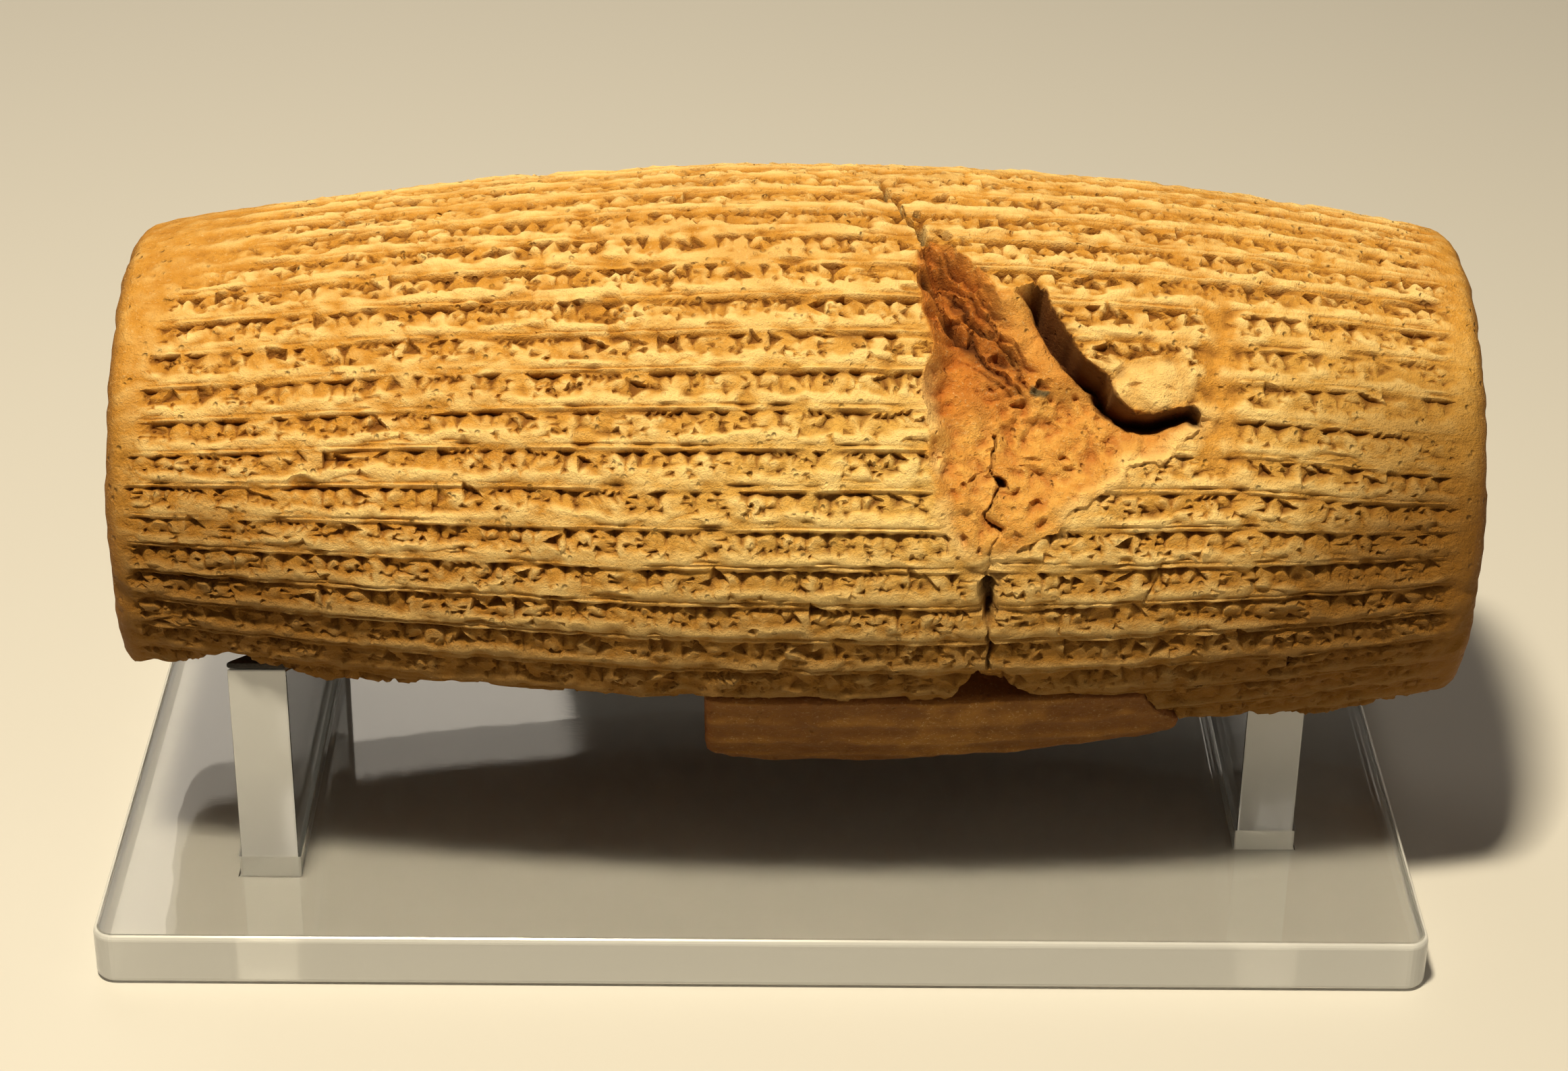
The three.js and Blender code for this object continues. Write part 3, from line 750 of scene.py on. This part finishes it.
print("Pressing the rows")
skin, strip, lobe = wornAreas(skinRelief())
print("Breaking the gash")
gashDepth, slits, masks = gashRelief()
floorShape = lowPass(gashDepth, 3.0) - gashDepth
# painted shade: darker where the skin lies below its surroundings, and in the low parts of the gash floor
masks["recessShade"] = np.clip((lowPass(skin, 2.8) - skin) / 0.5 - 0.1, 0, 1) * (1 - masks["gash"])
masks["recessShade"] = masks["recessShade"] + masks["gash"] * np.clip(-floorShape / 0.8, 0, 0.85)
# painted highlight: paler where the skin stands above its surroundings, on the crests of the rows
masks["crestHighlight"] = np.clip((skin - lowPass(skin, 4.6)) / 0.45, 0, 1) * (1 - masks["gash"])
masks["strip"] = strip
masks["rim"] = np.maximum(masks["rim"], 0.6 * lobe)
hard = masks["gash"] > 0.5
masks["gash"] = np.clip(lowPass(masks["gash"], 0.5), 0, 1)
skinMap = np.where(hard, -gashDepth, skin) - slits

breakJitter = 0.5 * noise(41, 3.0) + 0.3 * noise(42, 1.3)
breakRough = clay["breakLoss"] + 0.5 * noise(43, 5) + 0.35 * noise(44, 1.8) + 0.25 * np.abs(noise(45, 0.9))
edgeMap = alongLine(breakEdge, mapX) + breakJitter / arcPerDegree
brokenMap = ((mapAngle < edgeMap) & (mapAngle > clay["breakTo"])).astype(float)
breakRadius = brokenRadius(np.broadcast_to(mapX, mapShape), np.broadcast_to(mapAngle, mapShape))
wholeRadius = barrelRadius(mapX) + skinMap - clay["sink"]
brokenFace = np.minimum(breakRadius - np.clip(breakRough, 0, 3), wholeRadius)
radiusMap = np.where(brokenMap > 0.5, brokenFace, wholeRadius)
masks["broken"] = brokenMap * (breakRadius < wholeRadius)
chips = smooth(noise(46, 4), 0.55, 1.3) * smooth(np.abs(mapX), 103, 107.5)
radiusMap = radiusMap - 1.1 * chips
offsetMap = radiusMap - barrelRadius(mapX)
endMap = 0.45 + 0.4 * noise(51, 6) + 0.25 * noise(52, 2)


def aboutAxis(mesh):
    # the vertices in mm from the middle of the barrel's axis, and their way up round it in degrees
    where = points(mesh) / mm
    where[:, 0] -= clay["middle"]
    where[:, 2] -= clay["axisLevel"]
    return where, np.degrees(np.arctan2(where[:, 2], -where[:, 1]))


def shapeClay(mesh):
    x, onSide = readAttribute(mesh, "along"), readAttribute(mesh, "onSide")
    where, angle = aboutAxis(mesh)
    radius = np.hypot(where[:, 1], where[:, 2])
    offset = sampleMap(offsetMap, x, angle)
    # on the rounded rims and the end faces only the break goes on
    broken = brokenRadius(x, angle) - clay["breakLoss"]
    inBreak = (angle < alongLine(breakEdge, x)) & (angle > clay["breakTo"])
    shaped = radius + offset * onSide
    shaped = np.where(inBreak & (onSide < 0.999), np.minimum(shaped, broken), shaped)
    shaped = np.maximum(shaped, 0)
    scale = np.where(radius > 1e-6, shaped / np.maximum(radius, 1e-6), 1)
    where[:, 1] *= scale
    where[:, 2] *= scale
    pits = sampleMap(endMap, where[:, 1], where[:, 2] / arcPerDegree)
    where[:, 0] -= np.sign(x) * (1 - onSide) * np.clip(pits, 0, 2)
    where[:, 0] += clay["middle"]
    where[:, 2] += clay["axisLevel"]
    setPoints(mesh, where * mm)


def clayAttributes(mesh):
    # colour masks, read from the maps at the finished vertices
    where, angle = aboutAxis(mesh)
    x = where[:, 0]
    onEnd = smooth(np.abs(x), half - 3.2, half - 0.8)
    for name, field in masks.items():
        values = sampleMap(field, x, angle)
        if name == "broken":
            values = np.maximum(values, onEnd * 0.8)
        elif name != "dark":
            values = values * (1 - onEnd)
        writeAttribute(mesh, name, np.clip(values, 0, 1))
    pale = np.exp(-((x - 15) / 42) ** 2 - ((angle * arcPerDegree - 20) / 24) ** 2)
    pale = pale + 0.6 * smooth(x, 62, 75) * np.exp(-((angle * arcPerDegree - 32) / 24) ** 2)
    writeAttribute(mesh, "pale", np.clip(pale, 0, 1))
    # painted shade: darker towards the underside and towards both ends
    low = -angle + 18 * smooth(np.abs(x - 4), 62, 104) + 22 * smooth(x, 56, 98)
    toRight = 0.72 * smooth(x, 60, 102) * (1 - smooth(angle, 32, 62))
    toLeft = 0.5 * smooth(-x, 97, 106) * (1 - smooth(angle, 20, 50))
    shade = smooth(low, -22, 24) * (angle > clay["breakTo"])
    writeAttribute(mesh, "shade", np.maximum(shade, np.maximum(toRight, toLeft)))


# Materials

def newMaterial(name):
    material = bpy.data.materials.new(name)
    material.use_nodes = True
    tree = material.node_tree
    return material, tree, tree.nodes["Principled BSDF"]


def colourMix(tree, share, a, b, blend="MIX"):
    node = addNode(tree, "ShaderNodeMix", data_type="RGBA", blend_type=blend, clamp_factor=True)
    plug(share, node.inputs[0])
    plug(a, node.inputs[6])
    plug(b, node.inputs[7])
    return node.outputs[2]


def rangeOf(tree, value, fromLow, fromHigh, toLow=0.0, toHigh=1.0):
    node = addNode(tree, "ShaderNodeMapRange", {
        "Value": value, "From Min": fromLow, "From Max": fromHigh, "To Min": toLow, "To Max": toHigh,
    })
    return Field(tree, node.outputs[0])


def noiseTexture(tree, place, scale, detail=4.0, roughness=0.6, distortion=0.0):
    node = addNode(tree, "ShaderNodeTexNoise", {
        "Vector": place, "Scale": scale, "Detail": detail, "Roughness": roughness, "Distortion": distortion,
    })
    return Field(tree, node.outputs["Fac"])


def earthGroup():
    # fired clay: colour patches, grit and pits, worked out in metres on Object coordinates
    tree = bpy.data.node_groups.new("firedEarth", "ShaderNodeTree")
    newSocket(tree, "Light", "Color", (0.5, 0.3, 0.1, 1))
    newSocket(tree, "Dark", "Color", (0.3, 0.15, 0.05, 1))
    newSocket(tree, "Patch Size", "Float", 0.012)
    newSocket(tree, "Grit", "Float", 0.5)
    for name, kind in {"Color": "Color", "Height": "Float", "Rough": "Float"}.items():
        newSocket(tree, name, kind, way="OUTPUT")
    given = tree.nodes.new("NodeGroupInput")
    place = tree.nodes.new("ShaderNodeTexCoord").outputs["Object"]
    patchScale = Field(tree, given.outputs["Patch Size"]) ** -1.0
    patches = noiseTexture(tree, place, patchScale, 5.0, 0.65, 0.3)
    cloud = noiseTexture(tree, place, patchScale * 4.5, 4.0, 0.7)
    grit = noiseTexture(tree, place, 1700.0, 3.0, 0.75)
    grain = noiseTexture(tree, place, 620.0, 5.0, 0.8)
    pits = addNode(tree, "ShaderNodeTexVoronoi", {"Vector": place, "Scale": 620.0, "Randomness": 1.0})
    hollow = rangeOf(tree, Field(tree, pits.outputs["Distance"]), 0.1, 0.32, -1.0, 0.0)
    some = rangeOf(tree, noiseTexture(tree, place, 260.0, 2.0), 0.54, 0.6)
    share = rangeOf(tree, patches * 0.65 + cloud * 0.35, 0.34, 0.66)
    base = colourMix(tree, share, given.outputs["Dark"], given.outputs["Light"])
    base = colourMix(tree, rangeOf(tree, grain, 0.42, 0.3, 0.0, 0.5), base, given.outputs["Dark"])
    speck = rangeOf(tree, grit, 0.58, 0.7, 0.0, 0.4)
    base = colourMix(tree, speck, base, (0.85, 0.62, 0.3, 1))
    mote = rangeOf(tree, grit, 0.38, 0.27, 0.0, 0.6)
    base = colourMix(tree, mote, base, (0.1, 0.035, 0.006, 1))
    height = grain * 0.7 + grit * 0.35 + hollow * some * 0.6
    addNode(tree, "NodeGroupOutput", {
        "Color": base,
        "Height": height * Field(tree, given.outputs["Grit"]),
        "Rough": rangeOf(tree, cloud, 0.3, 0.7),
    })
    return tree


def filmGroup():
    # dust and faint scratches on a smooth surface
    tree = bpy.data.node_groups.new("dustFilm", "ShaderNodeTree")
    newSocket(tree, "Amount", "Float", 0.5)
    newSocket(tree, "Dust", "Float", way="OUTPUT")
    newSocket(tree, "Height", "Float", way="OUTPUT")
    given = tree.nodes.new("NodeGroupInput")
    place = tree.nodes.new("ShaderNodeTexCoord").outputs["Object"]
    stretched = addNode(tree, "ShaderNodeMapping", {"Vector": place, "Scale": (1.0, 9.0, 9.0)})
    cloud = noiseTexture(tree, place, 55.0, 5.0, 0.6)
    motes = rangeOf(tree, noiseTexture(tree, place, 1500.0, 2.0), 0.66, 0.74)
    lines = noiseTexture(tree, stretched.outputs[0], 420.0, 2.0, 0.5)
    amount = Field(tree, given.outputs["Amount"])
    addNode(tree, "NodeGroupOutput", {
        "Dust": (rangeOf(tree, cloud, 0.35, 0.75, 0.0, 0.5) + motes * 0.5) * amount,
        "Height": lines * amount,
    })
    return tree


earth = earthGroup()
film = filmGroup()


def earthNode(tree, light, dark, patchSize, grit):
    values = {"Light": light, "Dark": dark, "Patch Size": patchSize, "Grit": grit}
    return addNode(tree, "ShaderNodeGroup", values, node_tree=earth)


def filmNode(tree, amount):
    return addNode(tree, "ShaderNodeGroup", {"Amount": amount}, node_tree=film)


def mask(tree, name):
    node = addNode(tree, "ShaderNodeAttribute", attribute_name=name, attribute_type="GEOMETRY")
    return Field(tree, node.outputs["Fac"])


def layered(tree, colour, layers):
    # each layer is a mask's name, the most of it, and the colour that it brings
    for name, share, over in layers:
        colour = colourMix(tree, mask(tree, name) * share, colour, over)
    return colour


def bump(tree, height, strength, distance):
    values = {"Height": height, "Strength": strength, "Distance": distance}
    return addNode(tree, "ShaderNodeBump", values).outputs[0]


clayLooks = {
    "golden": (0.66, 0.325, 0.052, 1), "goldenDark": (0.52, 0.225, 0.026, 1),
    "cream": (0.76, 0.475, 0.12, 1),
    # painted highlight for the crests of the rows
    "crestHighlight": (1.0, 0.76, 0.33, 1),
    # painted shade for the recesses
    "recessShade": (0.15, 0.045, 0.005, 1),
    "floor": (0.82, 0.46, 0.115, 1), "floorDark": (0.6, 0.255, 0.04, 1),
    "rim": (0.95, 0.66, 0.26, 1),
    "red": (0.6, 0.2, 0.024, 1), "redDark": (0.36, 0.09, 0.01, 1),
    # painted shadow for the groove, holes and cracks, also the dark bands among the flakes
    "shadowAndStain": (0.05, 0.013, 0.003, 1),
    "strip": (0.66, 0.3, 0.045, 1),
    "broken": (0.3, 0.135, 0.03, 1), "brokenDark": (0.18, 0.07, 0.015, 1),
    # painted shade towards the underside and the ends
    "under": (0.175, 0.071, 0.006, 1),
    "stone": (0.13, 0.092, 0.042, 1),
    "fragment": (0.34, 0.158, 0.03, 1), "fragmentDark": (0.2, 0.082, 0.013, 1),
    # the first of these is painted shade for the fragment's worn rows
    "fragmentRecessShade": (0.11, 0.036, 0.01, 1), "fragmentRim": (0.21, 0.065, 0.014, 1),
    "shine": 0.18,
}


def clayMaterial():
    material, tree, surface = newMaterial("ruledClay")
    look = clayLooks
    skinEarth = earthNode(tree, look["golden"], look["goldenDark"], 0.013, 0.8)
    floorEarth = earthNode(tree, look["floor"], look["floorDark"], 0.005, 1.0)
    redEarth = earthNode(tree, look["red"], look["redDark"], 0.004, 1.0)
    brokenEarth = earthNode(tree, look["broken"], look["brokenDark"], 0.009, 1.0)
    # the recess layers are painted shade; the crest layer is a painted highlight, the shade layer is
    # painted shade, and the dark layer is painted shadow with some dark patches
    inner = layered(tree, floorEarth.outputs["Color"], [
        ("red", 0.85, redEarth.outputs["Color"]), ("recessShade", 0.7, look["redDark"]),
    ])
    colour = layered(tree, skinEarth.outputs["Color"], [
        ("pale", 0.7, look["cream"]), ("strip", 0.5, look["strip"]), ("crestHighlight", 0.7, look["crestHighlight"]),
        ("recessShade", 0.85, look["recessShade"]), ("gash", 1.0, inner), ("rim", 0.75, look["rim"]),
        ("shade", 0.9, look["under"]), ("broken", 1.0, brokenEarth.outputs["Color"]),
        ("dark", 0.85, look["shadowAndStain"]), ("stone", 1.0, look["stone"]),
    ])
    setInputs(surface, {
        "Base Color": colour,
        "Roughness": Field(tree, skinEarth.outputs["Rough"]) * 0.22 + 0.62 + mask(tree, "gash") * 0.12,
        "Specular IOR Level": look["shine"],
        "Normal": bump(tree, skinEarth.outputs["Height"], 1.0, 0.0013),
    })
    return material


def fragmentMaterial():
    material, tree, surface = newMaterial("fragmentClay")
    look = clayLooks
    body = earthNode(tree, look["fragment"], look["fragmentDark"], 0.007, 0.7)
    # the recess layer is painted shade in the worn rows
    colour = layered(tree, body.outputs["Color"], [
        ("recessShade", 0.7, look["fragmentRecessShade"]), ("rim", 0.6, look["fragmentRim"]),
    ])
    setInputs(surface, {
        "Base Color": colour,
        "Roughness": Field(tree, body.outputs["Rough"]) * 0.2 + 0.68,
        "Specular IOR Level": look["shine"],
        "Normal": bump(tree, body.outputs["Height"], 0.9, 0.001),
    })
    return material


sheetLooks = {
    "clear": (0.985, 0.992, 0.99, 1),
    "bending": 1.49,
    "foam": (0.012, 0.01, 0.009, 1), "foamDust": (0.12, 0.09, 0.06, 1),
}


def acrylicMaterial(name, roughness, dust, clearness=1.0):
    material, tree, surface = newMaterial(name)
    layer = filmNode(tree, dust)
    setInputs(surface, {
        "Base Color": sheetLooks["clear"],
        "Metallic": 0.0,
        "Transmission Weight": clearness,
        "IOR": sheetLooks["bending"],
        "Roughness": Field(tree, layer.outputs["Dust"]) * 0.12 + roughness,
        "Normal": bump(tree, layer.outputs["Height"], 0.08, 0.0001),
    })
    return material


def padMaterial():
    material, tree, surface = newMaterial("padFoam")
    dusty = Field(tree, filmNode(tree, 1.0).outputs["Dust"]) * 0.5
    place = tree.nodes.new("ShaderNodeTexCoord").outputs["Object"]
    cells = addNode(tree, "ShaderNodeTexVoronoi", {"Vector": place, "Scale": 1700.0})
    setInputs(surface, {
        "Base Color": colourMix(tree, dusty, sheetLooks["foam"], sheetLooks["foamDust"]),
        "Roughness": 0.92,
        "Normal": bump(tree, cells.outputs["Distance"], 0.6, 0.0003),
    })
    return material


# The pieces

def clayPiece():
    mesh = treeObject("pressed_clay", barrelTree(), {"Material": clayMaterial()})
    shapeClay(mesh.data)
    thin = mesh.modifiers.new("fewerFaces", "DECIMATE")
    mesh.data.calc_loop_triangles()
    thin.ratio = min(1.0, clay["mostTriangles"] / len(mesh.data.loop_triangles))
    bakeModifiers(mesh)
    for name in ("along", "onSide"):
        kept = mesh.data.attributes.get(name)
        if kept:
            mesh.data.attributes.remove(kept)
    clayAttributes(mesh.data)
    mesh.data.shade_smooth()
    mesh.data.set_sharp_from_angle(angle=math.radians(clay["creaseOver"]))
    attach(mesh, "root")
    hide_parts("clay_cylinder")


fragment = {
    "top": -20.9,         # degrees
    "gap": 0.35,
    "inset": 0.3,
    "taper": 0.87,
    "relief": 0.5,
    "wear": 2.0,          # mm: marks smaller than that are gone
    "rowShift": 31.0,
    "rounding": 1.6,
    "columns": 230,
    "lines": 76,
    "layers": 14,
}
wornRows = lowPass(skin, fragment["wear"])


def fragmentPiece():
    # a slab between the break's face and the barrel's skin, as a grid bent round its four sides
    columns, lines, layers = fragment["columns"], fragment["lines"], fragment["layers"]
    box = bmesh.new()
    bmesh.ops.create_grid(box, x_segments=columns, y_segments=lines, size=0.5)
    flat = [(vertex.co.x + 0.5, vertex.co.y + 0.5) for vertex in box.verts]
    faces = [[vertex.index for vertex in face.verts] for face in box.faces]
    border = [edge for edge in box.edges if edge.is_boundary]
    loops = {}
    for edge in border:
        face = edge.link_loops[0]
        loops[face.vert.index] = face.link_loop_next.vert.index
    box.free()
    share = np.array(flat)
    count = len(share)
    start = next(iter(loops))
    ring = [start]
    while loops[ring[-1]] != start:
        ring.append(loops[ring[-1]])
    level = np.concatenate([np.ones(count), np.zeros(count)] + [
        np.full(len(ring), 1 - (k + 1) / layers) for k in range(layers - 1)
    ])
    place = np.concatenate([share, share] + [share[ring]] * (layers - 1))
    allFaces = list(faces) + [[count + k for k in face[::-1]] for face in faces]
    rims = [list(ring)] + [list(range(2 * count + k * len(ring), 2 * count + (k + 1) * len(ring)))
                           for k in range(layers - 1)] + [[count + k for k in ring]]
    for upper, lower in zip(rims[:-1], rims[1:]):
        for k in range(len(ring)):
            after = (k + 1) % len(ring)
            allFaces.append([upper[after], upper[k], lower[k], lower[after]])

    low, high = fragmentEdge[0, 0] * half, fragmentEdge[-1, 0] * half
    x = mix(low, high, place[:, 0])
    gapAngle = fragment["gap"] / arcPerDegree
    top = np.minimum(alongLine(breakEdge, x), fragment["top"]) - gapAngle
    outerFoot = alongLine(fragmentEdge, x)
    innerFoot = np.minimum(outerFoot * fragment["taper"], top - 4 * gapAngle)
    foot = mix(innerFoot, outerFoot, level)
    angle = mix(foot, top, place[:, 1])
    # the rims of the outer face are rounded, more at the lower edge than along the joint
    toFoot = (angle - foot) * arcPerDegree
    toTop = (top - angle) * arcPerDegree * 2.5
    toSide = np.minimum(x - low, high - x)
    nearest = np.clip(np.minimum(np.minimum(toFoot, toTop), toSide) / fragment["rounding"], 0, 1)
    rounded = fragment["rounding"] * (1 - np.sqrt(1 - (1 - nearest) ** 2)) * 0.7
    rowed = sampleMap(wornRows, x, angle + fragment["rowShift"]) * fragment["relief"]
    rough = 0.16 * sampleMap(noise(61, 3.0), x, angle) + 0.05 * sampleMap(noise(62, 1.2), x, angle)
    outer = barrelRadius(x) - fragment["inset"] + rowed - rounded - np.abs(rough)
    seat = np.minimum(brokenRadius(x, angle) + 0.1, outer - 0.3)
    radius = mix(seat, outer, level)
    # the sides are rough too
    onSide = level < 0.999
    ragged = sampleMap(noise(63, 2.2), x * 0.7 + level * 9, angle) * 0.3
    bitten = np.abs(ragged)
    x = x + np.where(place[:, 0] < 1e-6, bitten, 0) - np.where(place[:, 0] > 1 - 1e-6, bitten, 0)
    angle = angle + np.where(onSide & (place[:, 1] < 1e-6), bitten / arcPerDegree, 0)
    radians = np.radians(angle)
    height = radius * np.sin(radians) + clay["axisLevel"]
    spots = np.stack([x + clay["middle"], -radius * np.cos(radians), height], 1)
    mesh = bpy.data.meshes.new("glued_fragment")
    mesh.from_pydata((spots * mm).tolist(), [], allFaces)
    # painted shade in the lows of the worn rows
    writeAttribute(mesh, "recessShade", np.clip(-rowed / 0.3 - 0.55, 0, 0.8) * level)
    writeAttribute(mesh, "rim", 1 - nearest * level)
    shape = bmesh.new()
    shape.from_mesh(mesh)
    bmesh.ops.recalc_face_normals(shape, faces=shape.faces)
    shape.to_mesh(mesh)
    shape.free()
    mesh.materials.append(fragmentMaterial())
    mesh.shade_smooth()
    piece = newObject("glued_fragment", mesh)
    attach(piece, "root")
    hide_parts("joined_fragment")


bevelled = {
    "width": 0.35,
    "segments": 2,
    "flatWithin": 0.5,    # degrees
    "sharpOver": 30.0,
}


def bevelledCopy(node, name, material, edgeMaterial=None, clearWay=(1, 0, 0)):
    # the same solid with its faces joined up and its edges broken, as polished sheet has them
    shape = bmesh.new()
    shape.from_mesh(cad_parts[node].data)
    bmesh.ops.remove_doubles(shape, verts=shape.verts, dist=0.00001)
    bmesh.ops.dissolve_limit(shape, angle_limit=math.radians(bevelled["flatWithin"]), verts=shape.verts,
                             edges=shape.edges, use_dissolve_boundaries=False)
    sharp = [edge for edge in shape.edges
             if len(edge.link_faces) == 2 and edge.calc_face_angle() > math.radians(bevelled["sharpOver"])]
    bmesh.ops.bevel(shape, geom=sharp, offset=bevelled["width"] * mm, segments=bevelled["segments"],
                    profile=0.5, affect="EDGES", clamp_overlap=True)
    for face in shape.faces:
        face.smooth = False
    mesh = bpy.data.meshes.new(name)
    shape.to_mesh(mesh)
    shape.free()
    mesh.materials.clear()
    mesh.materials.append(material)
    if edgeMaterial:
        mesh.materials.append(edgeMaterial)
        for face in mesh.polygons:
            face.material_index = int(abs(face.normal.dot(Vector(clearWay))) < 0.9)
    piece = newObject(name, mesh)
    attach(piece, "root")
    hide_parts(node)


print("Shaping the barrel")
clayPiece()
print("Gluing the fragment")
fragmentPiece()

print("Setting up the cradle")
clear = acrylicMaterial("clearAcrylic", 0.01, 0.35)
sawn = acrylicMaterial("sawnAcrylic", 0.16, 0.8, 0.45)
bevelledCopy("left_support", "left_slab", clear, sawn)
bevelledCopy("right_support", "right_slab", clear, sawn)
bevelledCopy("base_plate", "acrylic_plate", clear, sawn, (0, 0, 1))
bevelledCopy("left_support_pad", "saddle_pad", padMaterial())


# The floor, the light and the camera

studio = {
    "floorSize": 6.0,
    "floorGap": 0.0002,   # keeps the floor's face apart from the plate's
    "floorColour": (0.6, 0.585, 0.56, 1),
    "worldColour": (1.0, 0.87, 0.68, 1),
    "worldStrength": 0.07,
    # place in metres, size in metres, power in watts, colour
    "lights": {
        "above": ((-0.12, -0.29, 0.94), (0.11, 0.09), 13.6, (1.0, 0.87, 0.62)),
        "side": ((0.7, -0.5, 0.6), (0.4, 0.4), 0.5, (1.0, 0.85, 0.65)),
        "behind": ((-0.3, 0.8, 0.7), (0.5, 0.5), 1.6, (1.0, 0.9, 0.76)),
    },
    "aim": (0.0, 0.0, 0.055),
}
camera = {
    "place": (-0.00224, -0.51343, 0.33558),
    "pitch": 29.158,      # degrees down
    "yaw": 0.622,
    "roll": 0.744,
    "lens": 79.447,
    "sensor": 36.0,
}


def studioFloor():
    mesh = bpy.data.meshes.new("floor")
    reach = studio["floorSize"] / 2
    below = -studio["floorGap"]
    corners = [(x * reach, y * reach, below) for x, y in ((-1, -1), (1, -1), (1, 1), (-1, 1))]
    mesh.from_pydata(corners, [], [(0, 1, 2, 3)])
    material, tree, surface = newMaterial("paleFloor")
    setInputs(surface, {"Base Color": studio["floorColour"], "Roughness": 0.7})
    mesh.materials.append(material)
    floor = newObject("floor", mesh)


def studioLights():
    world = bpy.data.worlds.new("soft")
    bpy.context.scene.world = world
    world.use_nodes = True
    setInputs(world.node_tree.nodes["Background"], {
        "Color": studio["worldColour"], "Strength": studio["worldStrength"],
    })
    for name, (place, size, power, colour) in studio["lights"].items():
        light = bpy.data.lights.new(name, "AREA")
        light.shape = "RECTANGLE"
        light.size, light.size_y = size
        light.energy = power
        light.color = colour
        lamp = newObject(name, light)
        lamp.location = place
        lamp.rotation_euler = (Vector(studio["aim"]) - Vector(place)).to_track_quat("-Z", "Y").to_euler()


def studioCamera():
    pitch, yaw, roll = (math.radians(camera[name]) for name in ("pitch", "yaw", "roll"))
    ahead = Vector((math.sin(yaw) * math.cos(pitch), math.cos(yaw) * math.cos(pitch), -math.sin(pitch)))
    level = Vector((math.cos(yaw), -math.sin(yaw), 0))
    up = level.cross(ahead)
    right = level * math.cos(roll) + up * math.sin(roll)
    rolledUp = up * math.cos(roll) - level * math.sin(roll)
    data = bpy.data.cameras.new("camera")
    data.lens = camera["lens"]
    data.sensor_width = camera["sensor"]
    data.clip_start = 0.01
    lens = newObject("camera", data)
    turn = Matrix((right, rolledUp, -ahead)).transposed()
    lens.matrix_world = Matrix.Translation(camera["place"]) @ turn.to_4x4()
    bpy.context.scene.camera = lens


print("Lighting the stage")
studioFloor()
studioLights()
studioCamera()
bpy.context.scene.view_settings.view_transform = "Standard"
